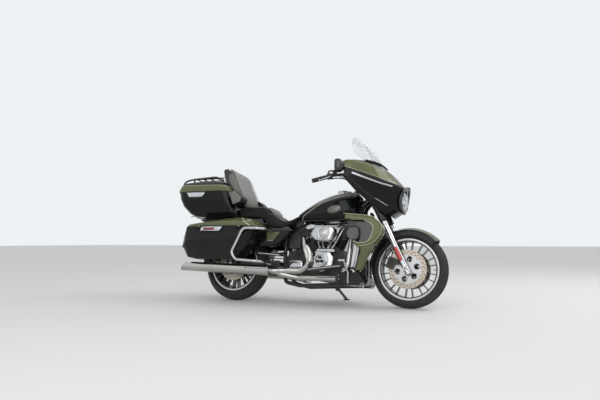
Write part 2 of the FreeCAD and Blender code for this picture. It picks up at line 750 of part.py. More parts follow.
def shocks():
    """A shock absorber on each side, between the arm and the frame rail."""
    y = -170
    lower = Vector(70, y, 345)
    upper = Vector(190, y, 651)
    along = upper - lower
    along.normalize()
    body = rod(lower + along * 30, upper - along * 30, 20)
    eye_low = cross_rod(lower.x, lower.z, 15, y - 14, -ARM_OUT - RUN_GAP)
    eye_high = cross_rod(upper.x, upper.z, 15, y - 14, -142.3)
    return pair(fuse([body, eye_low, eye_high, rod(lower, upper, 9)]))


def deck_corners(lean):
    """The two corners in side view of a cylinder's seat on the crankcase, front one first."""
    tilt = math.radians(lean)
    middle = Vector(CRANK_X + CYL_BASE * math.sin(tilt), CRANK_Z + CYL_BASE * math.cos(tilt), 0)
    along = Vector(math.cos(tilt), -math.sin(tilt), 0) * DECK_HALF
    return middle + along, middle - along


def crankcase():
    front = deck_corners(V_HALF_ANGLE)[0]
    rear = deck_corners(-V_HALF_ANGLE)[1]
    crest = CRANK_Z + CYL_BASE / math.cos(math.radians(V_HALF_ANGLE))
    outline = [
        (1064, 246, 30), (1082, 420, 30), (front.x, front.y, 4), (CRANK_X, crest, 0), (rear.x, rear.y, 4),
        (790, 430, 20), (790, 236, 20), (860, 196, 20), (1020, 196, 30),
    ]
    return side_slab(outline, -150, 146)


def gearbox():
    """The gearbox, with the drive pulley on its left side."""
    outline = [
        (789.7, 240, 10), (789.7, 440, 20), (740, 470, 30), (600, 460, 40), (545, 400, 40), (545, 280, 30), (600, 232, 30),
    ]
    drive = cross_rod(DRIVE_X, DRIVE_Z, DRIVE_R, 89, PULLEY_Y + BELT_W / 2)
    return fuse([side_slab(outline, -100, 90), drive])


def along_cylinder(shape, lean):
    """Places a shape drawn upright over the crank centre along one leg of the V."""
    shape.rotate(Vector(0, 0, 0), Vector(0, 1, 0), lean)
    shape.translate(Vector(CRANK_X, 0, CRANK_Z))
    return shape


def cylinder(lean):
    core = Part.makeCylinder(BARREL_R, HEAD_TOP - CYL_BASE, Vector(0, 0, CYL_BASE))
    pieces = [core]
    height = CYL_BASE + 8
    while height < HEAD_TOP - FIN_T:
        meet = height * math.tan(math.radians(V_HALF_ANGLE)) - 2
        half_x = min(76 if height < CYL_TOP else 72, meet)
        half_y = 82 if height < CYL_TOP else HEAD_HALF_Y
        fin = [(-half_x, -half_y, 30), (half_x, -half_y, 30), (half_x, half_y, 30), (-half_x, half_y, 30)]
        pieces.append(plan_slab(fin, height, height + FIN_T))
        height += FIN_PITCH
    return along_cylinder(fuse(pieces), lean)


def rocker_cover(lean):
    outline = [(-66, -92, 26), (66, -92, 26), (66, 92, 26), (-66, 92, 26)]
    top = [(-44, -74, 20), (44, -74, 20), (44, 74, 20), (-44, 74, 20)]
    cover = fuse([plan_slab(outline, HEAD_TOP, ROCKER_TOP - 16), plan_slab(top, ROCKER_TOP - 18, ROCKER_TOP)])
    return along_cylinder(cover, lean)


def pushrod_tubes():
    tubes = []
    for lean, base_x in ((V_HALF_ANGLE, CRANK_X + 34), (-V_HALF_ANGLE, CRANK_X - 34)):
        for spread in (-1, 1):
            top = Vector(spread * 16, -118, HEAD_TOP + 2)
            top = Rotation(Vector(0, 1, 0), lean).multVec(top) + Vector(CRANK_X, 0, CRANK_Z)
            foot = Vector(base_x + spread * 20, -176, CRANK_Z + LIFTER_TOP + 5)
            tubes.append(rod(foot, top, 9))
    return Part.makeCompound(tubes)


def cam_cover():
    """The cam cover with its round boss and the lifter blocks, and the gearbox's end cover."""
    outline = [
        (1012, 300, 50), (1026, 392, 50), (985, 446, 40), (850, 446, 40), (806, 392, 50), (822, 300, 50), (915, 262, 60),
    ]
    pieces = [pillow_slab(outline, -150, -206, 16)]
    pieces.append(cross_rod(CAM_X, CAM_Z, 56, -222, -190).cut(cross_rod(CAM_X, CAM_Z, 44, -230, -214)))
    for degrees in (90, 210, 330):
        turn = math.radians(degrees)
        pieces.append(cross_rod(CAM_X + 20 * math.cos(turn), CAM_Z + 20 * math.sin(turn), 17, -219, -200))
    block = [(CRANK_X - 86, 440, 8), (CRANK_X - 74, 464, 8), (CRANK_X + 74, 464, 8), (CRANK_X + 86, 440, 8)]
    pieces.append(side_slab(block, -190, -150))
    end_outline = [(584, 296, 24), (584, 372, 24), (716, 372, 24), (716, 296, 24)]
    end_cover = pillow_slab(end_outline, -100 - RUN_GAP, -132, 12)
    return Part.makeCompound([fuse(pieces), end_cover])


def primary_cover():
    """The primary chain's cover on the left, with its round clutch cover."""
    outline = [
        (1010, 300, 90), (1010, 470, 90), (860, 480, 60), (640, 440, 70), (560, 380, 60), (570, 270, 60), (860, 232, 60),
    ]
    body = pillow_slab(outline, 146, PRIMARY_Y, 24)
    clutch = cross_rod(690, 350, 84, PRIMARY_Y - 10, PRIMARY_Y + 8)
    rotor = cross_rod(CRANK_X - 20, 372, 62, PRIMARY_Y - 10, PRIMARY_Y + ROTOR_RISE)
    return fuse([body, clutch, rotor])


def air_cleaner():
    """The air cleaner: cover with rounded rim and centre ring, and two arms that bolt it to the cylinder heads."""
    outline = [(879, 655, 34), (1074, 642, 44), (1020, 509, 34), (885, 523, 34), (828, 572, 40)]
    cover = pillow_slab(outline, -222, -300, 20)
    ring = cross_rod(958, 584, 48, -304, -290).cut(cross_rod(958, 584, 38, -310, -299))
    arms = []
    for side in (-1, 1):
        x = CRANK_X + side * 52
        arms.append(box(x - 10, x + 10, -223, -HEAD_HALF_Y - RUN_GAP, 614, 638))
    return fuse([cover, ring] + arms)


MUFFLER_FRONT = Vector(468, MUFFLER_Y, 262)
MUFFLER_REAR = Vector(-455, MUFFLER_Y, 290)
MUFFLER_ENTRY = MUFFLER_FRONT.x + 1.4
# The exhaust's routes: from each head to the right muffler, and the cross-over to the left one
FRONT_HEADER = [
    (1119.7, -40, 599.7), (1173, -40, 578), (1166, -150, 560), (1150, -190, 330), (1080, -196, 214), (700, -200, 214),
    (570, -240, 236), (510, -MUFFLER_Y, 262), (MUFFLER_ENTRY, -MUFFLER_Y, 262),
]
REAR_HEADER = [
    (770.3, -40, 599.7), (715, -40, 577), (724, -150, 562), (768, -232, 480), (822, -232, 330), (740, -232, 268),
    (600, -250, 268), (500, -MUFFLER_Y, 262),
]
CROSS_OVER = [
    (700, -205, 214), (682, -140, 205), (682, 150, 205), (600, 240, 235), (510, MUFFLER_Y, 262),
    (MUFFLER_ENTRY, MUFFLER_Y, 262),
]


def headers():
    front = pipe([Vector(*p) for p in FRONT_HEADER], PIPE_R, 90)
    rear = pipe([Vector(*p) for p in REAR_HEADER], PIPE_R, 70)
    cross = pipe([Vector(*p) for p in CROSS_OVER], PIPE_R - 3, 40)
    return fuse([front, rear, cross])


def mufflers():
    body = rod(MUFFLER_FRONT, MUFFLER_REAR, MUFFLER_R)
    along = MUFFLER_REAR - MUFFLER_FRONT
    along.normalize()
    body = body.cut(rod(MUFFLER_REAR - along * 120, MUFFLER_REAR + along * 5, MUFFLER_R - 6))
    slash = box(-700, -420, MUFFLER_Y - 90, MUFFLER_Y + 90, 100, 400)
    slash.rotate(Vector(-420, 0, 290), Vector(0, 1, 0), 30)
    return pair(body.cut(slash))


TANK_TUNNEL = 42.0
# Sections of the fuel tank: x, half width, bottom z, top z
TANK_SECTIONS = [
    (622, 84, 742, 776), (650, 112, 732, 806), (710, 142, 720, 850), (790, 164, 714, 896), (880, 178, 711, 933),
    (970, 183, 711, 960), (1060, 182, 716, 980), (1130, 164, 728, 986), (1180, 130, 756, 976), (1202, 92, 800, 950),
]
# Corners of a tank section: share of the half width, share of the height, rounding share of the height
TANK_CORNERS = [(0.82, 0.0, 0.10), (1.0, 0.30, 0.26), (0.88, 0.74, 0.26), (0.44, 1.0, 0.22)]


def tank_section(x, half, low, high):
    height = high - low
    right = [(-half * a, low + height * b, height * r) for a, b, r in TANK_CORNERS]
    left = [(-y, z, r) for y, z, r in right[::-1]]
    return rounded_wire(right + left, lift_cross(x))


def fuel_tank():
    body = Part.makeLoft([tank_section(*section) for section in TANK_SECTIONS], True, True)
    arch = [(500, 640, 0), (500, 740, 0), (760, 790, 0), (1180, 905, 0), (1320, 985, 0), (1320, 640, 0)]
    tunnel = side_slab(arch, -TANK_TUNNEL, TANK_TUNNEL)
    heads = box(1110, 1300, -250, 250, 600, 735)
    return body.cut(tunnel).cut(heads)


def tank_console():
    """The console strip along the tank's crest, with the filler cap."""
    outline = [
        (650, 785, 0), (800, 896, 60), (930, 950, 60), (1080, 978, 40), (1112, 976, 0),
        (1112, 1000, 6), (1070, 1000, 30), (925, 966, 60), (795, 914, 60), (662, 808, 10),
    ]
    cap = rod(Vector(1020, 0, 965), Vector(1020, 0, 1010), 40)
    return fuse([side_slab(outline, -38, 38), cap]).cut(fuel_tank())


# Seat in side view, then in plan: x, z or y, corner radius
SEAT_PROFILE = [
    (72, 742, 6), (34, 868, 16), (296, 868, 30), (366, 800, 30), (470, 790, 30), (504, 726, 20), (566, 722, 20),
    (620, 780, 6), (608, 712, 4), (540, 692, 10), (500, 643, 10), (330, 655, 10), (296, 742, 10),
]
SEAT_PLAN = [
    (0, -160, 40), (330, -162, 60), (400, -186, 30), (520, -180, 60), (680, -84, 40),
    (680, 84, 40), (520, 180, 60), (400, 186, 30), (330, 162, 60), (0, 160, 40),
]


def seat():
    return side_slab(SEAT_PROFILE, -200, 200).common(plan_slab(SEAT_PLAN, 600, 1000))


def side_covers():
    outline = [(300, 634, 10), (600, 634, 12), (588, 593, 20), (505, 511, 40), (448, 486, 30), (300, 484, 16)]
    cover = pillow_slab(outline, -150, -BAG_INNER_Y + RUN_GAP, 14)
    return pair(cover.cut(bag_guard(GUARD_R + RUN_GAP)))


# Steps of a rounded panel edge: share of its radius moved in, and along the slab
EDGE_STEPS = [(0.0, 0.0), (0.13, 0.5), (0.45, 0.84), (1.0, 1.0)]


def inset(corners, distance):
    """The outline moved inward by a distance, for corners that run counter-clockwise."""
    moved = []
    count = len(corners)
    for index, (a, b, radius) in enumerate(corners):
        last = corners[index - 1]
        following = corners[(index + 1) % count]
        lines = []
        for start, end in ((last, (a, b)), ((a, b), following)):
            along = Vector(end[0] - start[0], end[1] - start[1], 0)
            along.normalize()
            lines.append(Vector(-along.y, along.x, 0))
        first, second = lines
        cross = first.x * second.y - first.y * second.x
        x = distance * (second.y - first.y) / cross
        y = distance * (first.x - second.x) / cross
        moved.append((a + x, b + y, max(radius - abs(distance), 1.0) if radius else 0.0))
    return moved


def turn_sign(corners):
    """1 where the corners run counter-clockwise, -1 where they run clockwise."""
    area = 0.0
    for (a, b, _), (c, d, _) in zip(corners, corners[1:] + corners[:1]):
        area += a * d - c * b
    return 1 if area > 0 else -1


def pillow_slab(corners, y_inner, y_outer, edge):
    """A slab whose outer face has rounded edges."""
    side = 1 if y_outer > y_inner else -1
    sign = turn_sign(corners)
    wires = [rounded_wire(corners, lift_side(y_inner))]
    for inward, along in EDGE_STEPS:
        station = y_outer - side * edge * (1 - along)
        wires.append(rounded_wire(inset(corners, sign * edge * inward), lift_side(station)))
    return Part.makeLoft(wires, True, True)


# Stations of a saddlebag from the rear: x, bottom z, crease z, top z, outer reach at the crease, rounding
BAG_STATIONS = [
    (-424, 446, 456, 470, 338, 3), (-396, 398, 468, 552, 366, 14), (-362, 366, 494, BAG_LID_Z, 386, 26),
    (-270, 350, 518, BAG_LID_Z, 398, 30), (120, 350, 526, BAG_LID_Z, 400, 30), (226, 452, 556, BAG_LID_Z, 394, 26),
    (322, 556, 604, BAG_LID_Z, 380, 12), (364, 628, 633, BAG_LID_Z, 366, 2),
]
# How far a bag's side draws in from the crease: at the bottom, and at the top
BAG_TUCK = 62.0
BAG_LEAN = 8.0
# Stations of a bag's lid: x, height, outer reach, rounding
LID_STATIONS = [
    (-366, 8, 378, 2), (-336, 40, 392, 10), (-240, 62, 397, 20), (-141, 77, 398, 26), (0, 90, 398, 28),
    (139, 97, 397, 28), (250, 84, 394, 24), (322, 52, 386, 12), (372, 8, 374, 2),
]
# Where a lid's shoulder and crown lie: share of the height, and distances in from its reach
LID_SHOULDER = (0.52, 12.0)
LID_CROWN_IN = 118.0


def bag_section(station, wall):
    x, low, crease, top, reach, radius = station
    outer = [(-reach + BAG_TUCK, low + wall, max(radius - wall, 1)), (-reach + wall, crease, max(radius - wall, 1)),
             (-reach + BAG_LEAN + wall, top, 0)]
    return rounded_wire([(-BAG_INNER_Y - wall, low + wall, 0)] + outer + [(-BAG_INNER_Y - wall, top, 0)], lift_cross(x))


def saddlebag():
    """A saddlebag's body, creased along its side, with the hinge knuckles of its lid."""
    shell = Part.makeLoft([bag_section(station, 0) for station in BAG_STATIONS], True, True)
    inner = [(x, low, crease, top, reach, radius) for x, low, crease, top, reach, radius in BAG_STATIONS[2:-1]]
    core = Part.makeLoft([bag_section(station, PANEL_T) for station in inner], True, True)
    core = core.common(box(-362 + PANEL_T, 322 - PANEL_T, -500, 0, 300, BAG_LID_Z + 1))
    return fuse([shell.cut(core)] + knuckles(BAG_HINGE_X, -BAG_HINGE_Y, BAG_HINGE_Z, -1, False))


def lid_section(station, wall):
    x, height, reach, radius = station
    base = BAG_LID_Z + LID_GAP
    share, back = LID_SHOULDER
    rise = max(height - wall, 3)
    round_r = max(radius - wall, 1)
    corners = [
        (-BAG_INNER_Y - wall, base, 0), (-reach + wall, base, 0), (-reach + back + wall, base + rise * share, round_r),
        (-reach + LID_CROWN_IN, base + rise, round_r), (-BAG_INNER_Y - wall, base + rise, 0),
    ]
    return rounded_wire(corners, lift_cross(x))


def bag_lid():
    shell = Part.makeLoft([lid_section(station, 0) for station in LID_STATIONS], True, True)
    core = Part.makeLoft([lid_section(station, PANEL_T) for station in LID_STATIONS[1:-1]], True, True)
    return fuse([shell.cut(core)] + knuckles(BAG_HINGE_X, -BAG_HINGE_Y, BAG_HINGE_Z, -1, True))


# The guard's route round the front of a bag, from the frame's rail out, back, down and in again
BAG_GUARD_ROUTE = [
    (432, -130.3, 633), (432, -360, 612), (400, -412, 614), (250, -412, 618), (150, -412, 400),
    (200, -412, 342), (380, -400, 332), (432, -350, 332), (432, -190, 332),
]


def bag_guard(radius):
    return pipe([Vector(*p) for p in BAG_GUARD_ROUTE], radius, 50)


# Trunk sections from the floor up: z, rear x, front x, half width, corner radius
TRUNK_SECTIONS = [
    (757, -396, 62, 200, 50), (800, -470, 50, 236, 64), (870, -544, 30, 262, 80), (940, -580, 8, 278, 90),
    (TRUNK_SPLIT_Z, -594, -14, 283, 90),
]
LID_SECTIONS = [
    (TRUNK_SPLIT_Z + LID_GAP, -598, -14, 289, 90), (1020, -600, -26, 290, 92), (1062, -590, -50, 281, 94),
    (1094, -558, -76, 258, 96), (1112, -500, -110, 216, 90),
]


def plan_section(section, grow, height):
    """A trunk section's outline at a height, grown outward by a distance."""
    _, rear, front, half, radius = section
    reach = half + grow
    return rounded_box_section(rear - grow, front + grow, -reach, reach, radius + grow, lift_plan(height))


def plan_loft(sections, grow):
    """A solid lofted through plan sections, each grown outward by a distance."""
    return Part.makeLoft([plan_section(section, grow, section[0]) for section in sections], True, True)


def lofted_tub(sections, wall, floor_first):
    """A hollow box lofted through plan sections, open at the end away from its floor."""
    inner = []
    last = len(sections) - 1
    for index, section in enumerate(sections):
        height = section[0]
        if floor_first and index == 0:
            height += wall
        if not floor_first and index == last:
            height -= wall
        inner.append(plan_section(section, -wall, height))
    return plan_loft(sections, 0).cut(Part.makeLoft(inner, True, True))


def trunk_box():
    tub = lofted_tub(TRUNK_SECTIONS, PANEL_T + 1, True)
    return fuse([tub] + knuckles(TRUNK_HINGE_X, TRUNK_HINGE.y, TRUNK_HINGE.z, 1, False))


def trunk_lid():
    tub = lofted_tub(LID_SECTIONS, PANEL_T + 1, False)
    return fuse([tub] + knuckles(TRUNK_HINGE_X, TRUNK_HINGE.y, TRUNK_HINGE.z, 1, True))


RACK_Z = 1154.0
RACK_Y = 165.0
RACK_X = (-478.0, -150.0)


def luggage_rack():
    """The rack on the trunk lid: two side rails with cross bars."""
    lid_top = LID_SECTIONS[-1][0] + RUN_GAP
    rear, front = RACK_X
    route = [(front, -RACK_Y, lid_top), (front, -RACK_Y, RACK_Z), (rear, -RACK_Y, RACK_Z), (rear, -RACK_Y, lid_top)]
    side = pipe([Vector(*p) for p in route], 8, 25)
    rails = [side, mirrored(side)]
    for x in (-220, -300, -380, -455):
        rails.append(rod(Vector(x, -RACK_Y, RACK_Z), Vector(x, RACK_Y, RACK_Z), 6))
    return fuse(rails)


def backrest():
    """The backrest cushion, carried on the front of the trunk's lid."""
    outline = [
        (33, 885, 8), (70, 885, 20), (56, 985, 30), (2, 1095, 40), (-44, 1196, 22), (-95, 1240, 22), (-142, 1230, 16),
        (-124, 1160, 20), (-109, 1113, 2), (-49.5, 1060.5, 2), (-7, 976, 2), (1, 972, 2),
    ]
    cushion = side_slab(outline, -178, 178)
    return cushion.cut(plan_loft(LID_SECTIONS, RUN_GAP)).cut(plan_loft(TRUNK_SECTIONS, MOVE_GAP + 1))


def armrests():
    """The padded arms beside the backrest, on the trunk's front corners."""
    outline = [(66, 852, 10), (14, 968, 10), (70, 992, 20), (150, 925, 30), (140, 880, 20)]
    stay = box(-30, 62, -212, -184, 884, 926).cut(plan_loft(TRUNK_SECTIONS, RUN_GAP))
    return pair(fuse([side_slab(outline, -300, -184), stay]))


LEG_OUTER_Y = 332.0
LEG_INNER_Y = 205.0
LEG_EDGE = 22.0
LEG_WALL = 4.0
LEG_PANEL_Y = 282.0
GUARD_BAR_R = 14.0
# A leg fairing's upper pod, and the opening in its outer face, in side view: x, z, corner radius
POD_OUTLINE = [
    (1133, 748, 26), (1376, 718, 50), (1462, 650, 50), (1456, 570, 40), (1388, 490, 30), (1250, 462, 30), (1196, 560, 40),
]
POD_OPENING = [
    (1090, 696, 4), (1316, 684, 60), (1388, 640, 50), (1380, 560, 36), (1340, 506, 30), (1262, 500, 26),
    (1240, 520, 4), (1090, 520, 4),
]
# The rear mouth behind its upper pod, where it opens toward the rider's leg
POD_MOUTH = [(1090, 696, 0), (1200, 696, 0), (1240, 510, 0), (1090, 510, 0)]
# Its lower leg: z, rear x, front x, outer y, inner y, corner radius
LEG_SECTIONS = [
    (510, 1270, 1398, -330, -212, 26), (440, 1284, 1362, -318, -214, 24), (372, 1256, 1320, -284, -206, 20),
    (286, 1228, 1284, -250, -192, 16),
]


def leg_loft(wall):
    """The lower leg's solid, drawn inward by a wall."""
    wires = []
    for z, rear, front, outer, inner, radius in LEG_SECTIONS:
        lift = lift_plan(z)
        wires.append(rounded_box_section(rear + wall, front - wall, outer + wall, inner - wall, radius - wall, lift))
    return Part.makeLoft(wires, True, True)


def leg_fairing():
    """One lower leg fairing: a hollow pod with a wide opening, its lower leg, and the clamps on the guard."""
    pod = pillow_slab(POD_OUTLINE, -LEG_INNER_Y, -LEG_OUTER_Y, LEG_EDGE)
    core_outline = inset(POD_OUTLINE, turn_sign(POD_OUTLINE) * LEG_WALL)
    core = pillow_slab(core_outline, -LEG_INNER_Y + 1, -LEG_OUTER_Y + LEG_WALL, LEG_EDGE - LEG_WALL)
    opening = side_slab(POD_OPENING, -LEG_OUTER_Y - 1, -LEG_OUTER_Y + LEG_WALL + 2)
    rear_mouth = side_slab(POD_MOUTH, -LEG_OUTER_Y - 1, -LEG_INNER_Y + 20)
    shell = fuse([pod.cut(core).cut(opening).cut(rear_mouth), leg_loft(0).cut(core)])
    hollow = leg_loft(LEG_WALL).common(box(1100, 1500, -400, 0, 300, 500))
    return shell.cut(hollow).cut(guard_bar(GUARD_BAR_R + RUN_GAP))


def leg_panel():
    """The dark panel set back in a leg fairing, with its rounded pod and the clamp on the engine guard."""
    outline = inset(POD_OUTLINE, turn_sign(POD_OUTLINE) * (LEG_WALL + RUN_GAP))
    plate = side_slab(outline, -LEG_PANEL_Y - 4, -LEG_PANEL_Y)
    pod_outline = [(1168, 640, 26), (1274, 640, 32), (1274, 517, 32), (1214, 517, 26), (1168, 592, 26)]
    pod = pillow_slab(pod_outline, -LEG_PANEL_Y - 2, -LEG_PANEL_Y - 36, 18)
    clamp = box(1236, 1282, -LEG_PANEL_Y - 1, -244, 524, 550)
    return fuse([plate, pod, clamp]).cut(guard_bar(GUARD_BAR_R + RUN_GAP))


def cooler_shroud():
    """The oil cooler with its shroud, low between the down tubes."""
    outline = [(1232.4, 404, 8), (1258, 404, 10), (1270, 320, 20), (1298, 204, 16), (1280, 178, 14), (1236, 186, 10)]
    shroud = side_slab(outline, -96, 96)
    mouth = box(1250, 1300, -80, 80, 236, 380)
    bars = [box(1251, 1257, -81, 81, z, z + 5) for z in range(244, 380, 16)]
    strap = box(1214, 1240, -RAIL_Y, RAIL_Y, 382, 396)
    whole = fuse([shroud.cut(mouth), strap] + bars)
    for side in (-1, 1):
        whole = whole.cut(down_tube(side, DOWN_TUBE_R + RUN_GAP))
    return whole


def chin_fairing():
    """The black chin below each leg fairing: outer panel, floor and front wall, seated on the frame's rail."""
    outline = [(1092, 268, 10), (1250, 268, 20), (1284, 190, 30), (1262, 160, 20), (1110, 160, 14), (1092, 180, 10)]
    inside = [(1000, 165, 0), (1260, 165, 10), (1279, 192, 26), (1244, 272, 10), (1244, 400, 0), (1000, 400, 0)]
    shell = side_slab(outline, -238, -RAIL_Y - 6).cut(side_slab(inside, -234, -100))
    return shell.cut(brake_bar(BRAKE_BAR_R + 2)).cut(down_tube(-1, DOWN_TUBE_R + RUN_GAP))


def battery_box():
    """The battery box behind the cylinders, between the frame's posts and the gearbox."""
    return side_slab([(560, 480, 14), (560, 600, 20), (640, 632, 20), (672, 600, 14), (672, 482, 14)], -88, 88)


# The engine guard's route, from the centre out over the leg fairing and down to the frame
GUARD_ROUTE = [
    (1255, 0, 690), (1255, -200, 688), (1256, -258, 600), (1260, -266, 470), (1240, -258, 372), (1219, -236, 312),
    (1213, -190, 290), (1213, -138.8, 290),
]


def guard_bar(radius):
    return pipe([Vector(*p) for p in GUARD_ROUTE], radius, 40)


def engine_guard():
    """The guard loop inside the leg fairings, from the neck out and down to the frame."""
    return both(guard_bar(GUARD_BAR_R))


def footboards():
    rider = side_slab([(850, 262, 8), (1152, 300, 8), (1152, 314, 4), (850, 276, 4)], -378, -262)
    stem = pipe([Vector(1075, -272, 292), Vector(1075, -244, 168), Vector(1075, -139.3, 168)], 11, 25)
    return pair(fuse([rider, stem]))


def passenger_boards():
    board = side_slab([(372, 398, 6), (600, 386, 6), (602, 400, 4), (374, 412, 4)], -352, -262)
    stem = rod(Vector(492, -264, 402), Vector(514, -77.4, 440), 10)
    return pair(fuse([board, stem]))


BRAKE_BAR_R = 8.0
BRAKE_ROUTE = [(1165, -139.3, 174), (1165, -236, 174), (1172, -256, 260), (1150, -322, 350)]


def brake_bar(radius):
    return pipe([Vector(*p) for p in BRAKE_ROUTE], radius, 20)


def foot_controls():
    pad = box(1122, 1176, -372, -316, 344, 358)
    return fuse([brake_bar(BRAKE_BAR_R), pad])


def shift_lever():
    root_y = PRIMARY_Y + ROTOR_RISE + RUN_GAP
    lever = pipe([Vector(940, root_y, 340), Vector(940, 290, 340), Vector(1175, 300, 345)], 7, 15)
    peg = cross_rod(1170, 345, 11, 290, 356)
    return fuse([lever, peg])


# Lamp outlines in side view: x, z, corner radius
BAG_LAMP = [(-176, 630, 5), (34, 632, 5), (2, 597, 5), (-192, 597, 5)]
TRUNK_LAMP = [(-466, 986, 6), (-257, 986, 6), (-288, 946, 10), (-431, 946, 10)]


def tail_lamps():
    """The red tail lamp and the clear end lamp in one frame on each bag, under its lid."""
    lamp = side_slab(BAG_LAMP, -412, -BAG_OUTER_Y + 12)
    return pair(lamp.cut(Part.makeLoft([bag_section(station, -RUN_GAP) for station in BAG_STATIONS], True, True)))


def trunk_lamps():
    """The clear lamp on each side of the trunk, under its lid."""
    lamp = side_slab(TRUNK_LAMP, -294, -262)
    return pair(lamp.cut(plan_loft(TRUNK_SECTIONS, RUN_GAP)))


def plate_bracket():
    plate = box(-430, -424, -92, 92, 470, 600)
    crown = cross_rod(0, REAR_TYRE_R, REAR_FENDER_R + crown_rise(REAR_FENDER_HALF) + RUN_GAP, -40, 40)
    arm = box(-425, -240, -30, 30, 535, 560).cut(crown)
    return fuse([plate, arm])


def lowest_point(centre, spin, crown):
    """The height of the lowest corner of a tyre's crown above the ground plane."""
    drop = math.sqrt(1 - spin.z * spin.z)
    return min(centre.z + y * spin.z - r * drop for y, r in crown)


STEER_ROTATION = Rotation(FORK_DIR, PARKED_STEER)
STEER_PLACE = Placement(steer_point(0) - STEER_ROTATION.multVec(steer_point(0)), STEER_ROTATION)


def parked_placement():
    """The lean, the small pitch that sets both tyres down, and the shift to the row's origin."""
    rear_crown = crown_points(REAR_TYRE_R, REAR_TYRE_HALF, REAR_CROWN_R)
    front_crown = crown_points(FRONT_TYRE_R, FRONT_TYRE_HALF, FRONT_CROWN_R)
    pitch = 0.0
    for _ in range(6):
        turn = Rotation(Vector(1, 0, 0), -LEAN).multiply(Rotation(Vector(0, 1, 0), pitch))
        rear = lowest_point(turn.multVec(Vector(0, 0, REAR_TYRE_R)), turn.multVec(Vector(0, 1, 0)), rear_crown)
        front_axle = STEER_PLACE.multVec(Vector(WHEELBASE, 0, FRONT_TYRE_R))
        front_spin = turn.multVec(STEER_ROTATION.multVec(Vector(0, 1, 0)))
        front = lowest_point(turn.multVec(front_axle), front_spin, front_crown)
        pitch += math.degrees((front - rear) / WHEELBASE)
    return Placement(Vector(-ORIGIN_X, -ORIGIN_Y, -rear), turn)


BODY_PLACE = parked_placement()
FRONT_PLACE = BODY_PLACE.multiply(STEER_PLACE)
STAND_PIVOT = Vector(950, 170, 150)
STAND_FOLDED = Vector(-1, 0.06, -0.1)
STAND_R = 13.0


def side_stand():
    """The stand in parked coordinates: boss at its pivot, leg, and a foot flat on the ground."""
    pivot = BODY_PLACE.multVec(STAND_PIVOT)
    foot = Vector(STAND_FOOT_X - ORIGIN_X, STAND_FOOT_Y - ORIGIN_Y, 0)
    axis = stand_axis()
    boss = rod(pivot - axis * 16, pivot + axis * 16, 22)
    leg = rod(pivot, foot + Vector(0, -6, 12), STAND_R)
    pad = Part.makeCylinder(30, 10, foot, Vector(0, 0, 1))
    return fuse([boss, leg, pad]).cut(rod(pivot - axis * 40, pivot + axis * 40, 8 + RUN_GAP))


def stand_axis():
    """The stand folds from its foot on the ground to straight back beside the frame."""
    pivot = BODY_PLACE.multVec(STAND_PIVOT)
    down = Vector(STAND_FOOT_X - ORIGIN_X, STAND_FOOT_Y - ORIGIN_Y, 0) - pivot
    axis = down.cross(BODY_PLACE.Rotation.multVec(STAND_FOLDED))
    axis.normalize()
    return axis


def stand_bracket():
    """The bracket on the left rail that carries the stand's pin, drawn upright."""
    axis = BODY_PLACE.Rotation.inverted().multVec(stand_axis())
    pin_end = STAND_PIVOT + axis * 32
    pin = rod(STAND_PIVOT - axis * 18, pin_end + axis * 6, 8)
    arm = pipe([Vector(STAND_PIVOT.x, RAIL_Y, 164), Vector(STAND_PIVOT.x, 162, 188), pin_end], 8, 10)
    return fuse([pin, arm])


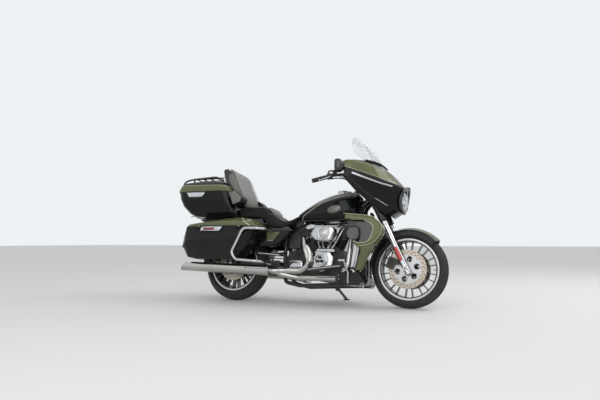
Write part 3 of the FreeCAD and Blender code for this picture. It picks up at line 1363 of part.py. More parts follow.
def main():
    os.makedirs("parts", exist_ok=True)
    chassis = {
        "frame": fuse([frame(), stand_bracket()]),
        "crankcase": crankcase(),
        "gearbox": gearbox(),
        "cylinders": Part.makeCompound([cylinder(V_HALF_ANGLE), cylinder(-V_HALF_ANGLE)]),
        "rocker_covers": Part.makeCompound([rocker_cover(V_HALF_ANGLE), rocker_cover(-V_HALF_ANGLE)]),
        "pushrod_tubes": pushrod_tubes(),
        "cam_cover": cam_cover(),
        "primary_cover": primary_cover(),
        "air_cleaner": air_cleaner(),
        "exhaust_headers": headers(),
        "mufflers": mufflers(),
        "fuel_tank": fuel_tank(),
        "tank_console": tank_console(),
        "seat": seat(),
        "side_covers": side_covers(),
        "rear_fender": rear_fender(),
        "swingarm": swingarm(),
        "drive_belt": drive_belt(),
        "rear_caliper": rear_caliper(),
        "shocks": shocks(),
        "rear_axle": axle(0, REAR_TYRE_R, ARM_OUT + RUN_GAP, (REAR_DISC_Y + DISC_T / 2 + RUN_GAP, ARM_IN - RUN_GAP),
                          (PULLEY_Y + BELT_W / 2 + RUN_GAP, ARM_IN - RUN_GAP)),
        "saddlebag_right": saddlebag(),
        "saddlebag_left": mirrored(saddlebag()),
        "bag_guards": pair(bag_guard(GUARD_R)),
        "rear_lamps": Part.makeCompound([tail_lamps(), trunk_lamps()]),
        "trunk_box": trunk_box(),
        "armrests": armrests(),
        "leg_fairings": pair(leg_fairing()),
        "leg_panels": pair(leg_panel()),
        "cooler_shroud": Part.makeCompound([cooler_shroud(), pair(chin_fairing())]),
        "battery_box": battery_box(),
        "engine_guard": engine_guard(),
        "footboards": Part.makeCompound([footboards(), passenger_boards()]),
        "foot_levers": Part.makeCompound([foot_controls(), shift_lever()]),
        "plate_bracket": plate_bracket(),
    }
    lids = {
        "bag_lid_right": bag_lid(),
        "bag_lid_left": mirrored(bag_lid()),
        "trunk_lid": trunk_lid(),
        "luggage_rack": luggage_rack(),
        "backrest": backrest(),
    }
    front_spacer = (FRONT_DISC_Y + DISC_T / 2 + RUN_GAP, LEG_Y - SLIDER_R - RUN_GAP)
    steered = {
        "fork_yokes": fork_yokes(),
        "fork_legs": Part.makeCompound([fork_slider(-1), fork_slider(1)]),
        "front_axle": axle(WHEELBASE, FRONT_TYRE_R, FRONT_AXLE_END - AXLE_HEAD, front_spacer, front_spacer),
        "front_calipers": Part.makeCompound([front_caliper(-1), front_caliper(1)]),
        "front_fender": front_fender(),
        "outer_fairing": outer_fairing(),
        "inner_fairing": inner_fairing(),
        "windshield": windshield(),
        "headlamp": headlamp(),
        "fairing_strips": fairing_strips(),
        "handlebar": handlebar(),
        "mirrors": mirrors(),
    }
    rear_wheel = rear_wheel_pieces()
    front_wheel = front_wheel_pieces()
    for pieces, place in ((chassis, BODY_PLACE), (lids, BODY_PLACE), (rear_wheel, BODY_PLACE),
                          (steered, FRONT_PLACE), (front_wheel, FRONT_PLACE)):
        for node, shape in pieces.items():
            placed = shape.copy()
            placed.Placement = place.multiply(placed.Placement)
            placed.exportStep("parts/" + node + ".step")
    side_stand().exportStep("parts/side_stand.step")


if __name__ == "__main__":
    main()
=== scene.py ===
"""Looks for a full-dress touring cruiser motorcycle, parked on its side stand.

Pieces are drawn upright and straight, in millimetres: X forward from the rear axle, Y to the rider's
left, Z up from the ground. Each is then put in its body's parked place, which comes from the joints.
"""
import contextlib
import functools
import json
import math

import bmesh
import bpy
from bpy.props import FloatProperty, FloatVectorProperty, PointerProperty
from mathutils import Matrix, Vector


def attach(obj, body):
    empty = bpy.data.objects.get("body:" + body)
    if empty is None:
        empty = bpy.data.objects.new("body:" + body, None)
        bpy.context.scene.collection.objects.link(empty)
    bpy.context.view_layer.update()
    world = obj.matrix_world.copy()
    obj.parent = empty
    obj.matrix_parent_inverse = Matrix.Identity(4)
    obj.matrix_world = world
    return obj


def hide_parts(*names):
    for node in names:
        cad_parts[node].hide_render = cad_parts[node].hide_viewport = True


bl_info = {
    "name": "Touring Cruiser Looks",
    "version": (1, 0, 0),
    "blender": (4, 5, 0),
    "location": "3D View > Sidebar > Cruiser",
    "description": "Builds the visible pieces and finishes of a parked touring cruiser motorcycle",
    "category": "Object",
}

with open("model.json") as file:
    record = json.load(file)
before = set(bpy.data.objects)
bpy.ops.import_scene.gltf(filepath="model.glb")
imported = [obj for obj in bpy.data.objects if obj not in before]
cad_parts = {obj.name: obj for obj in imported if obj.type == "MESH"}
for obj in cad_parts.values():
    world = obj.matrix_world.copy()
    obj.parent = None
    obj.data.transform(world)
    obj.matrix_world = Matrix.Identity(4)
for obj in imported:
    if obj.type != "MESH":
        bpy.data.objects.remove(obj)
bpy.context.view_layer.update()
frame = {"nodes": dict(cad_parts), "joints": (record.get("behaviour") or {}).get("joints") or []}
JOINTS = {joint["name"]: joint for joint in frame["joints"]}
NODES = frame["nodes"]

# Measures that the pieces share, in millimetres and degrees
MM = 0.001
HEAD_TILT = math.radians(26)
REAR_AXLE = (0, 0, 327.5)
FRONT_AXLE = (1625, 0, 319)
FORK_SPREAD = 120
CRANK = (945, 368)
CYLINDER_LEANS = (22.5, -22.5)
CAM_COVER = (908, 367)
AIR_CLEANER = (958, 584)
PRIMARY_COVER = (690, 350)
LAMP_HEIGHT = 900
MIRROR = (400, 1152)
DIALS = ((1258, -96, 1160), (1258, 96, 1160))
SMALL_DIALS = ((1272, -50, 1188), (1272, 0, 1192), (1272, 50, 1188))
SIDES = (-1, 1)


def upright_space(spin_joint, axle):
    """The matrix from the upright drawing, in millimetres, to the parked place of the body with that axle."""
    fork = Vector(JOINTS["steering"]["axis"]).normalized()
    left = Vector(JOINTS[spin_joint]["axis"]).normalized()
    across = left.cross(fork)
    forward = across * math.cos(HEAD_TILT) - fork * math.sin(HEAD_TILT)
    up = across * math.sin(HEAD_TILT) + fork * math.cos(HEAD_TILT)
    turn = Matrix((forward, left, up)).transposed()
    place = turn.to_4x4() @ Matrix.Scale(MM, 4)
    place.translation = Vector(JOINTS[spin_joint]["pos_m"]) - (turn @ Vector(axle)) * MM
    return place


REAR_SPACE = upright_space("rear_wheel_spin", REAR_AXLE)
FRONT_SPACE = upright_space("front_wheel_spin", FRONT_AXLE)
SPACES = {"chassis": REAR_SPACE, "trunk_lid_body": REAR_SPACE, "rear_wheel_body": REAR_SPACE,
          "steered_front": FRONT_SPACE, "front_wheel_body": FRONT_SPACE}


# Settings
class CruiserPaint(bpy.types.PropertyGroup):
    """Colours of the painted and covered surfaces."""
    body: FloatVectorProperty(name="Body Paint", description="Deep gloss colour of the panels",
                              subtype="COLOR", size=4, min=0, max=1, default=(0.005, 0.0075, 0.006, 1))
    band: FloatVectorProperty(name="Band Paint", description="Green of the bands on the panels",
                              subtype="COLOR", size=4, min=0, max=1, default=(0.135, 0.148, 0.07, 1))
    stripe: FloatVectorProperty(name="Pinstripe", description="Thin line along the bands", subtype="COLOR",
                                size=4, min=0, max=1, default=(0.6, 0.58, 0.42, 1))
    leather: FloatVectorProperty(name="Seat Cover", description="Colour of the seat", subtype="COLOR",
                                 size=4, min=0, max=1, default=(0.012, 0.0115, 0.011, 1))


class CruiserTrim(bpy.types.PropertyGroup):
    """Sizes of the small trim."""
    tread_depth: FloatProperty(name="Tread Depth", description="How deep the tyres' grooves are",
                               unit="LENGTH", default=0.0032, min=0.001, max=0.008, precision=4)
    piping: FloatProperty(name="Piping Radius", description="Radius of the cord in the cushions' edges",
                          unit="LENGTH", default=0.0026, min=0.001, max=0.006, precision=4)
    stripe_width: FloatProperty(name="Pinstripe Width", description="Half width of the lines along the bands",
                                unit="LENGTH", default=0.0016, min=0.0005, max=0.01, precision=4)


class CruiserStage(bpy.types.PropertyGroup):
    """Camera and light levels."""
    lens: FloatProperty(name="Focal Length", description="Focal length of the camera", unit="CAMERA",
                        default=30.0, min=8, max=200)
    key: FloatProperty(name="Key Light", description="Power of the main soft light", subtype="POWER",
                       default=150.0, min=0)
    fill: FloatProperty(name="Fill Light", description="Power of the fill light", subtype="POWER",
                        default=60.0, min=0)


# Shader building
ORIGIN = Vector((0, 0, 0))
GREY = (0.5, 0.5, 0.5, 1.0)


def feed(tree, socket, value):
    """Links a socket to another one, or sets its plain value."""
    if isinstance(value, bpy.types.NodeSocket):
        tree.links.new(value, socket)
    else:
        socket.default_value = value


def add_node(tree, kind, inputs, **settings):
    """A node with its settings, and its inputs fed by name or number."""
    made = tree.nodes.new(kind)
    for key, value in settings.items():
        setattr(made, key, value)
    for key, value in inputs.items():
        feed(tree, made.inputs[key], value)
    return made


def math_node(tree, operation, *values, clamp=False):
    """The result of a Math node on numbers or sockets."""
    return add_node(tree, "ShaderNodeMath", dict(enumerate(values)), operation=operation,
                    use_clamp=clamp).outputs[0]


def mix_colour(tree, factor, first, second):
    """The first colour, or the second where the factor is one."""
    return add_node(tree, "ShaderNodeMix", {0: factor, 6: first, 7: second}, data_type="RGBA").outputs[2]


def noise(tree, place, scale, detail):
    """Smooth noise over the surface."""
    return add_node(tree, "ShaderNodeTexNoise",
                    {"Vector": place, "Scale": scale, "Detail": detail}).outputs[0]


def new_group(name, inputs, outputs):
    """A new shader node group: its tree, its inputs and outputs by name, and its Math maker."""
    tree = bpy.data.node_groups.new(name, "ShaderNodeTree")
    kinds = {float: "NodeSocketFloat", tuple: "NodeSocketColor", Vector: "NodeSocketVector"}
    for label, value in inputs.items():
        socket = tree.interface.new_socket(label, in_out="INPUT", socket_type=kinds[type(value)])
        socket.default_value = value
    for label, kind in outputs.items():
        tree.interface.new_socket(label, in_out="OUTPUT", socket_type=kinds[kind])
    into = tree.nodes.new("NodeGroupInput").outputs
    out = tree.nodes.new("NodeGroupOutput").inputs
    return tree, into, out, functools.partial(math_node, tree)


@functools.cache
def mottle_group():
    """Slow and fine changes of colour and roughness, as on any used surface."""
    tree, into, out, calc = new_group(
        "Used Surface", {"Vector": ORIGIN, "Colour": GREY, "Shade": GREY, "Amount": 0.4, "Scale": 12.0,
                         "Roughness": 0.4, "Spread": 0.1}, {"Colour": tuple, "Roughness": float})
    slow = noise(tree, into["Vector"], into["Scale"], 5.0)
    fine = noise(tree, into["Vector"], 220.0, 3.0)
    both = calc("ADD", calc("MULTIPLY", slow, 0.75), calc("MULTIPLY", fine, 0.25))
    spread = calc("MULTIPLY_ADD", both, 2.2, -0.6, clamp=True)
    share = calc("MULTIPLY", spread, into["Amount"])
    feed(tree, out["Colour"], mix_colour(tree, share, into["Colour"], into["Shade"]))
    swing = calc("MULTIPLY", calc("SUBTRACT", spread, 0.5), into["Spread"])
    feed(tree, out["Roughness"], calc("ADD", into["Roughness"], swing, clamp=True))
    return tree


@functools.cache
def grain_group():
    """Leather or moulded grain: cells with creases between them, as a height."""
    tree, into, out, calc = new_group("Cover Grain", {"Vector": ORIGIN, "Scale": 400.0, "Slack": 0.5},
                                      {"Height": float})
    cells = add_node(tree, "ShaderNodeTexVoronoi", {"Vector": into["Vector"], "Scale": into["Scale"]},
                     feature="DISTANCE_TO_EDGE").outputs[0]
    crease = calc("SUBTRACT", 1.0, calc("MULTIPLY", cells, 6.0, clamp=True), clamp=True)
    pull = calc("MULTIPLY", noise(tree, into["Vector"], 9.0, 4.0), into["Slack"])
    feed(tree, out["Height"], calc("ADD", calc("MULTIPLY", crease, -0.35), pull))
    return tree


@functools.cache
def dust_group():
    """Road dust that gathers low on the machine."""
    tree, into, out, calc = new_group(
        "Road Dust", {"Vector": ORIGIN, "Colour": GREY, "Top": 0.5, "Amount": 0.3}, {"Colour": tuple})
    parts = add_node(tree, "ShaderNodeSeparateXYZ", {0: into["Vector"]}).outputs
    low = calc("SUBTRACT", 1.0, calc("DIVIDE", parts["Z"], into["Top"]), clamp=True)
    specks = noise(tree, into["Vector"], 38.0, 7.0)
    mask = calc("MULTIPLY", calc("MULTIPLY", low, specks), into["Amount"], clamp=True)
    feed(tree, out["Colour"], mix_colour(tree, mask, into["Colour"], (0.30, 0.25, 0.20, 1)))
    return tree


@functools.cache
def edge_group():
    """One where a point lies past a plane, with a soft edge: the border of a painted band."""
    tree, into, out, calc = new_group(
        "Band Border", {"Vector": ORIGIN, "Normal": Vector((0, 0, 1)), "Offset": 0.0, "Line": 0.003},
        {"Past": float, "Line": float})
    dot = add_node(tree, "ShaderNodeVectorMath", {0: into["Vector"], 1: into["Normal"]},
                   operation="DOT_PRODUCT")
    past = calc("SUBTRACT", dot.outputs["Value"], into["Offset"])
    feed(tree, out["Past"], calc("MULTIPLY", past, 2500.0, clamp=True))
    away = calc("DIVIDE", calc("ABSOLUTE", past), into["Line"])
    feed(tree, out["Line"], calc("MULTIPLY", calc("SUBTRACT", 1.0, away), 6.0, clamp=True))
    return tree


@functools.cache
def upright_group():
    """A point moved back to the upright drawing, in metres, with both sides folded onto the left one."""
    tree, into, out, calc = new_group("Upright Place", {"Vector": ORIGIN, "Place": ORIGIN, "Turn": ORIGIN},
                                      {"Vector": Vector})
    back = add_node(tree, "ShaderNodeMapping", {0: into["Vector"], 1: into["Place"], 2: into["Turn"]},
                    vector_type="TEXTURE")
    parts = add_node(tree, "ShaderNodeSeparateXYZ", {0: back.outputs[0]}).outputs
    folded = add_node(tree, "ShaderNodeCombineXYZ", {0: parts["X"], 1: calc("ABSOLUTE", parts["Y"]),
                                                     2: parts["Z"]})
    feed(tree, out["Vector"], folded.outputs[0])
    return tree


@functools.cache
def drilled_group():
    """Round holes in rings about an axle that runs along Y, and how far a point lies from the axle."""
    tree, into, out, calc = new_group(
        "Drilled Rings", {"Vector": ORIGIN, "X": 0.0, "Z": 0.0, "Count": 20.0, "First": 0.13, "Step": 0.012,
                          "Hole": 0.0035}, {"Holes": float, "Distance": float})

    def length(first, second):
        return calc("SQRT", calc("ADD", calc("MULTIPLY", first, first), calc("MULTIPLY", second, second)))

    parts = add_node(tree, "ShaderNodeSeparateXYZ", {0: into["Vector"]}).outputs
    along = calc("SUBTRACT", parts["X"], into["X"])
    up = calc("SUBTRACT", parts["Z"], into["Z"])
    radius = length(along, up)
    turn = calc("DIVIDE", calc("ARCTAN2", up, along), math.tau)
    share = calc("MULTIPLY", turn, into["Count"])
    pitch = calc("DIVIDE", calc("MULTIPLY", radius, math.tau), into["Count"])
    rows = []
    for row in range(3):
        shifted = calc("FRACT", calc("ADD", share, 10.0 + row / 3))
        aside = calc("MULTIPLY", calc("SUBTRACT", shifted, 0.5), pitch)
        ring = calc("ADD", into["First"], calc("MULTIPLY", into["Step"], float(row)))
        away = length(aside, calc("SUBTRACT", radius, ring))
        rows.append(calc("MULTIPLY", calc("SUBTRACT", into["Hole"], away), 4000.0, clamp=True))
    feed(tree, out["Holes"], functools.reduce(functools.partial(calc, "MAXIMUM"), rows))
    feed(tree, out["Distance"], radius)
    return tree


def use_group(tree, maker, **inputs):
    """The outputs of a shared group placed in a material, with its inputs fed by name."""
    made = tree.nodes.new("ShaderNodeGroup")
    made.node_tree = maker()
    for label, value in inputs.items():
        feed(tree, made.inputs[label], value)
    return made.outputs


def blank_material(name, **shader):
    """A material: its tree, its shader's inputs with plain values set, and its coordinates."""
    material = bpy.data.materials.new(name)
    material.use_nodes = True
    tree = material.node_tree
    sockets = tree.nodes["Principled BSDF"].inputs
    for label, value in shader.items():
        sockets[label.replace("_", " ")].default_value = value
    return material, tree, sockets, tree.nodes.new("ShaderNodeTexCoord").outputs["Object"]


def raise_surface(tree, sockets, height, strength, distance):
    """Feeds a height to the shader's normal."""
    lifted = add_node(tree, "ShaderNodeBump", {"Height": height, "Strength": strength, "Distance": distance})
    feed(tree, sockets["Normal"], lifted.outputs[0])


def finish(name, colour, shade, amount, scale, rough, spread, bump=0.0, bump_scale=300.0, grain=None,
           dust=0.0, **shader):
    """The common finish: mottled colour and roughness, some dust, and a bump of noise or of grain cells."""
    material, tree, sockets, place = blank_material(name, **shader)
    used = use_group(tree, mottle_group, Vector=place, Colour=(*colour, 1), Shade=(*shade, 1), Amount=amount,
                     Scale=scale, Roughness=rough, Spread=spread)
    seen = used["Colour"]
    if dust:
        seen = use_group(tree, dust_group, Vector=place, Colour=seen, Top=0.75, Amount=dust)["Colour"]
    feed(tree, sockets["Base Color"], seen)
    feed(tree, sockets["Roughness"], used["Roughness"])
    if bump and grain:
        height = use_group(tree, grain_group, Vector=place, Scale=bump_scale, Slack=grain)["Height"]
        raise_surface(tree, sockets, height, bump, 0.001)
    elif bump:
        raise_surface(tree, sockets, noise(tree, place, bump_scale, 4.0), bump, 0.001)
    return material


def upright_place(tree, place, space):
    """The folded upright place of a surface point of a body that is parked by space."""
    return use_group(tree, upright_group, Vector=place, Place=space.translation,
                     Turn=space.to_euler())["Vector"]


def border(points, inside):
    """A plane through two (x, z) or three (x, y, z) points, in millimetres, facing the inside point."""
    if len(points) == 2:
        (a, b), (c, d) = points
        corner = Vector((a, 0, b))
        normal = (Vector((c, 0, d)) - corner).cross(Vector((0, 1, 0)))
        within = Vector((inside[0], 0, inside[-1]))
    else:
        corner, second, third = (Vector(p) for p in points)
        normal = (second - corner).cross(third - corner)
        within = Vector(inside)
    normal.normalize()
    if normal.dot(within - corner) < 0:
        normal = -normal
    return normal, normal.dot(corner) * MM


def darker(colour, share):
    return tuple(part * share for part in colour)


def painted(name, space, scene, band=(), stripe=None, ground="body"):
    """Gloss paint with a band, which lies inside all of its borders and has a pinstripe along the first of
    them, or with a pinstripe alone."""
    material, tree, sockets, place = blank_material(name, **PAINT_SHADER)
    upright = upright_place(tree, place, space)
    width = scene.cruiser_trim.stripe_width
    coats = {}
    for label in ("body", "band"):
        colour = getattr(scene.cruiser_paint, label)[:3]
        coats[label] = use_group(tree, mottle_group, Vector=place, Colour=(*colour, 1),
                                 Shade=(*darker(colour, 0.7), 1), Amount=0.5, Scale=6.0, Roughness=0.24,
                                 Spread=0.06)
    seen = coats[ground]["Colour"]
    if band:
        both = functools.partial(math_node, tree, "MULTIPLY")
        edges = [use_group(tree, edge_group, Vector=upright, Normal=normal, Offset=offset, Line=width)
                 for normal, offset in band]
        pasts = [edge["Past"] for edge in edges]
        seen = mix_colour(tree, functools.reduce(both, pasts), seen, coats["band"]["Colour"])
        line = functools.reduce(both, pasts[1:], edges[0]["Line"])
    else:
        (normal, offset), share = stripe
        line = use_group(tree, edge_group, Vector=upright, Normal=normal, Offset=offset,
                         Line=width * share)["Line"]
    seen = mix_colour(tree, line, seen, tuple(scene.cruiser_paint.stripe))
    dusty = use_group(tree, dust_group, Vector=place, Colour=seen, Top=0.75, Amount=0.12)
    feed(tree, sockets["Base Color"], dusty["Colour"])
    feed(tree, sockets["Roughness"], coats[ground]["Roughness"])
    return material


def drilled(name, space, axle, first_ring):
    """A brake disc: a silver carrier inside, and a worn steel rotor with rings of holes outside."""
    material, tree, sockets, place = blank_material(name, Metallic=1.0)
    rings = use_group(tree, drilled_group, Vector=upright_place(tree, place, space), X=axle[0] * MM,
                      Z=axle[2] * MM, Count=22.0, First=first_ring, Step=0.011, Hole=0.0036)
    rotor = use_group(tree, mottle_group, Vector=place, Colour=(0.5, 0.44, 0.37, 1),
                      Shade=(0.3, 0.26, 0.22, 1), Amount=0.7, Scale=70.0, Roughness=0.3, Spread=0.2)
    past = math_node(tree, "SUBTRACT", rings["Distance"], first_ring - 0.014)
    outer = math_node(tree, "MULTIPLY", past, 2000.0, clamp=True)
    seen = mix_colour(tree, outer, (0.5, 0.5, 0.51, 1), rotor["Colour"])
    feed(tree, sockets["Base Color"], mix_colour(tree, rings["Holes"], seen, (0.01, 0.01, 0.01, 1)))
    feed(tree, sockets["Roughness"], rotor["Roughness"])
    raise_surface(tree, sockets, math_node(tree, "SUBTRACT", 1.0, rings["Holes"]), 1.0, 0.002)
    return material


def clear_screen(name):
    """Thin tinted glass with a slight haze."""
    material, tree, sockets, place = blank_material(name, Metallic=0.0, Transmission_Weight=1.0, IOR=1.1,
                                                    Alpha=0.45)
    haze = use_group(tree, mottle_group, Vector=place, Colour=(0.74, 0.79, 0.8, 1),
                     Shade=(0.64, 0.7, 0.71, 1), Amount=0.5, Scale=8.0, Roughness=0.01, Spread=0.015)
    feed(tree, sockets["Base Color"], haze["Colour"])
    feed(tree, sockets["Roughness"], haze["Roughness"])
    return material


PAINT_SHADER = {"Metallic": 0.1, "Specular_IOR_Level": 0.14, "Coat_Weight": 0.45, "Coat_Roughness": 0.03,
                "Coat_IOR": 1.35}
# Borders of the painted bands, in the upright drawing, and pinstripes that run alone, with their share of
# the usual width
FAIRING_BAND = (
    border(((1165, 375, 1150), (1388, 280, 1078), (1560, 120, 1022)), (1300, 300, 1180)),
    border(((1267, 300, 1212), (1471, 150, 1126), (1600, 0, 1040)), (1300, 330, 1100)),
    border(((1400, 86, 1100), (1600, 112, 1000), (1400, 86, 1000)), (1300, 300, 1100)),
)
FENDER_BAND = (border(((1500, 50, 600), (1700, 50, 650), (1600, 50, 300)), (1500, 0, 600)),)
TRUNK_BAND = (border(((-600, 1068), (0, 1052)), (-300, 1000)),)
COVER_BAND = (
    border(((383, 538), (441, 534)), (420, 600)), border(((441, 534), (509, 616)), (400, 600)),
    border(((373, 613), (509, 616)), (430, 560)), border(((373, 613), (383, 538)), (450, 580)),
)
TANK_LINE = (border(((700, 140, 765), (843, 150, 851), (977, 140, 912)), (900, 100, 950)), 1.4)
BAG_LINE = (border(((176, 724), (296, 645)), (0, 700)), 2.275)

MATERIALS = {}


def build_materials(scene):
    """Makes every finish. A plain one gives its colour, its shade, and how coarse, rough and varied it is."""
    paint = scene.cruiser_paint
    body, band, stripe, leather = (colour[:3] for colour in
                                   (paint.body, paint.band, paint.stripe, paint.leather))
    MATERIALS.update({
        "paint": finish("deep_paint", body, (0.003, 0.0045, 0.004), 0.5, 5, 0.24, 0.06, dust=0.12,
                        **PAINT_SHADER),
        "band": finish("green_band_paint", band, darker(band, 0.75), 0.5, 6, 0.26, 0.06, dust=0.1,
                       **PAINT_SHADER),
        "fairing": painted("fairing_paint", FRONT_SPACE, scene, FAIRING_BAND),
        "front_fender": painted("front_fender_paint", FRONT_SPACE, scene, FENDER_BAND),
        "bag_lid": painted("bag_lid_paint", REAR_SPACE, scene, stripe=BAG_LINE, ground="band"),
        "trunk_lid": painted("trunk_lid_paint", REAR_SPACE, scene, TRUNK_BAND),
        "side_cover": painted("side_cover_paint", REAR_SPACE, scene, COVER_BAND),
        "tank": painted("tank_paint", REAR_SPACE, scene, stripe=TANK_LINE),
        "stripe": finish("pinstripe_paint", stripe, (0.4, 0.38, 0.25), 0.3, 30, 0.35, 0.1, Coat_Weight=0.8),
        "chrome": finish("polished_chrome", (0.64, 0.65, 0.66), (0.4, 0.41, 0.43), 0.6, 9, 0.12, 0.06,
                         dust=0.2, Metallic=1.0),
        "exhaust": finish("exhaust_chrome", (0.56, 0.555, 0.54), (0.34, 0.31, 0.27), 0.5, 7, 0.12, 0.1,
                          dust=0.2, Metallic=1.0),
        "steel": finish("machined_steel", (0.55, 0.54, 0.52), (0.35, 0.34, 0.33), 0.5, 60, 0.3, 0.15, 0.15,
                        700, Metallic=1.0),
        "front_disc": drilled("front_disc_steel", FRONT_SPACE, FRONT_AXLE, 0.131),
        "rear_disc": drilled("rear_disc_steel", REAR_SPACE, REAR_AXLE, 0.117),
        "black_metal": finish("black_enamel", (0.012, 0.012, 0.013), (0.03, 0.028, 0.026), 0.5, 20, 0.32,
                              0.14, 0.06, 200, dust=0.14, Coat_Weight=0.3, Specular_IOR_Level=0.3),
        "engine": finish("engine_black", (0.014, 0.014, 0.015), (0.04, 0.037, 0.034), 0.6, 30, 0.45, 0.2, 0.3,
                         500, dust=0.2, Specular_IOR_Level=0.3),
        "wheel": finish("cast_wheel_black", (0.01, 0.01, 0.011), (0.03, 0.028, 0.025), 0.5, 18, 0.25, 0.1,
                        0.08, 240, dust=0.15, Coat_Weight=0.4, Specular_IOR_Level=0.3),
        "tyre": finish("tyre_rubber", (0.012, 0.0125, 0.013), (0.028, 0.027, 0.025), 0.6, 26, 0.68, 0.16, 0.3,
                       320, dust=0.14, Specular_IOR_Level=0.35),
        "leather": finish("seat_leather", leather, (0.028, 0.026, 0.024), 0.5, 16, 0.38, 0.12, 0.45, 620, 0.4,
                          Specular_IOR_Level=0.14),
        # The pale grey-beige leather of the backrest, bolster and armrest pads is the seat's black leather
        # with a painted sheen: its lit faces are painted light.
        "painted_sheen_leather": finish("painted_sheen_leather", (0.15, 0.142, 0.128), (0.21, 0.198, 0.18), 0.5, 14, 0.44, 0.12,
                               0.45, 620, 0.4, Sheen_Weight=0.2, Sheen_Roughness=0.4),
        "plastic": finish("satin_plastic", (0.016, 0.016, 0.017), (0.035, 0.033, 0.031), 0.5, 24, 0.5, 0.15,
                          0.25, 420, 0.2),
        "gloss_plastic": finish("gloss_plastic", (0.01, 0.01, 0.011), (0.02, 0.02, 0.02), 0.5, 14, 0.18, 0.08,
                                dust=0.1, Coat_Weight=0.5),
        "rubber": finish("ribbed_rubber", (0.018, 0.018, 0.018), (0.05, 0.046, 0.042), 0.6, 40, 0.75, 0.15,
                         0.4, 380, dust=0.4),
        "red_lens": finish("red_lens", (0.2, 0.008, 0.008), (0.12, 0.004, 0.004), 0.4, 60, 0.12, 0.06, 0.3,
                           260, Coat_Weight=1.0),
        "clear_lens": finish("clear_lens", (0.7, 0.72, 0.75), (0.5, 0.53, 0.56), 0.5, 80, 0.16, 0.05, 0.25,
                             180, Coat_Weight=0.6, Metallic=0.5),
        "grey_panel": finish("grey_grille_cloth", (0.10, 0.105, 0.105), (0.06, 0.063, 0.063), 0.5, 40, 0.5,
                             0.1, 0.4, 800),
        "silver": finish("silver_paint", (0.52, 0.53, 0.52), (0.4, 0.41, 0.4), 0.4, 20, 0.32, 0.1,
                         Metallic=0.7, Coat_Weight=0.6),
        "badge": finish("bare_badge", (0.2, 0.19, 0.17), (0.06, 0.055, 0.05), 0.7, 90, 0.34, 0.14, 0.5, 260,
                        Metallic=0.8),
        "piping": finish("seat_piping", (0.06, 0.056, 0.05), (0.03, 0.028, 0.026), 0.5, 50, 0.5, 0.1, 0.2,
                         500),
        "reflector": finish("red_reflector", (0.62, 0.02, 0.015), (0.4, 0.01, 0.01), 0.5, 90, 0.15, 0.05, 0.5,
                            700, Coat_Weight=0.8),
        "display": finish("display_glass", (0.012, 0.014, 0.018), (0.02, 0.024, 0.03), 0.5, 30, 0.06, 0.03,
                          Coat_Weight=0.6),
        "dial": finish("dial_face", (0.7, 0.7, 0.68), (0.55, 0.55, 0.53), 0.4, 40, 0.4, 0.1),
        "screen": clear_screen("clear_screen"),
    })


# Mesh building
def skin(bm, rings, around=True, wrap=False, caps=False):
    """Joins rings of points with faces: around closes each ring, wrap joins the last ring to the first."""
    rows = [[bm.verts.new(point) for point in ring] for ring in rings]
    count = len(rows[0])
    pairs = list(zip(rows, rows[1:]))
    if wrap:
        pairs.append((rows[-1], rows[0]))
    for first, second in pairs:
        for index in range(count if around else count - 1):
            after = (index + 1) % count
            bm.faces.new((first[index], first[after], second[after], second[index]))
    if caps:
        bm.faces.new(rows[0][::-1])
        bm.faces.new(rows[-1])
    return rows


def turns(count):
    """Angles of even steps round a circle."""
    return [math.tau * step / count for step in range(count)]


def frame_of(axis):
    """The axis and two directions across it, each of unit length."""
    axis = Vector(axis).normalized()
    side = axis.orthogonal().normalized()
    return axis, side, axis.cross(side)


def squared(value, power):
    """A sine or cosine pushed outward, which turns an oval into a rounded box."""
    return math.copysign(abs(value) ** power, value)


def flipped(points):
    """The points on the other side of the machine."""
    return [(x, -y, z) for x, y, z in points]


def circle(count, radius, centre, start=0.0):
    """Points round a centre, in the plane along the machine."""
    x, y, z = centre
    return [(x + radius * math.cos(start + turn), y, z + radius * math.sin(start + turn))
            for turn in turns(count)]


def smooth_path(points, steps):
    """Points of a smooth curve through the given ones."""
    points = [Vector(point) for point in points]
    before = [points[0] * 2 - points[1]] + points[:-2]
    after = points[2:] + [points[-1] * 2 - points[-2]]
    path = []
    for a, b, c, d in zip(before, points, points[1:], after):
        for step in range(steps):
            t = step / steps
            low_terms = b * 2 + (c - a) * t + (a * 2 - b * 5 + c * 4 - d) * t * t
            path.append((low_terms + (b * 3 - a - c * 3 + d) * t ** 3) / 2)
    return path + [points[-1]]


def tube(bm, points, radius, sides=8, closed=False, flat=1.0):
    """A round bar along points, or an oval one where flat is under 1."""
    points = [Vector(point) for point in points]
    count = len(points)
    rings = []
    side = None
    for index, point in enumerate(points):
        before = points[index - 1] if closed or index else point
        after = points[(index + 1) % count] if closed or index < count - 1 else point
        along = (after - before).normalized()
        side = along.orthogonal() if side is None else side - along * side.dot(along)
        side.normalize()
        other = along.cross(side)
        rings.append([point + side * (radius * math.cos(turn)) + other * (radius * flat * math.sin(turn))
                      for turn in turns(sides)])
    skin(bm, rings, wrap=closed, caps=not closed)


def rod(bm, points, radius, steps=5, sides=8, flat=1.0):
    """A bar along a smooth curve through points."""
    tube(bm, smooth_path(points, steps), radius, sides, flat=flat)


def coil(bm, low, high, radius, wire, count, steps, start=0.0, share=1.0, sides=8):
    """A spring of count turns about the line from low to high, over a share of it."""
    _, aside, other = frame_of(high - low)
    route = []
    for step in range(count * steps + 1):
        turn = math.tau * step / steps
        middle = low.lerp(high, start + share * step / (count * steps))
        route.append(middle + aside * (radius * math.cos(turn)) + other * (radius * math.sin(turn)))
    tube(bm, route, wire, sides)


def lathe(bm, profile, x, z, steps):
    """A profile of (y, r) points turned about the cross axis through (x, z)."""
    rings = [[(x + r * math.cos(turn), y, z + r * math.sin(turn)) for y, r in profile]
             for turn in turns(steps)]
    return skin(bm, rings, around=False, wrap=True)


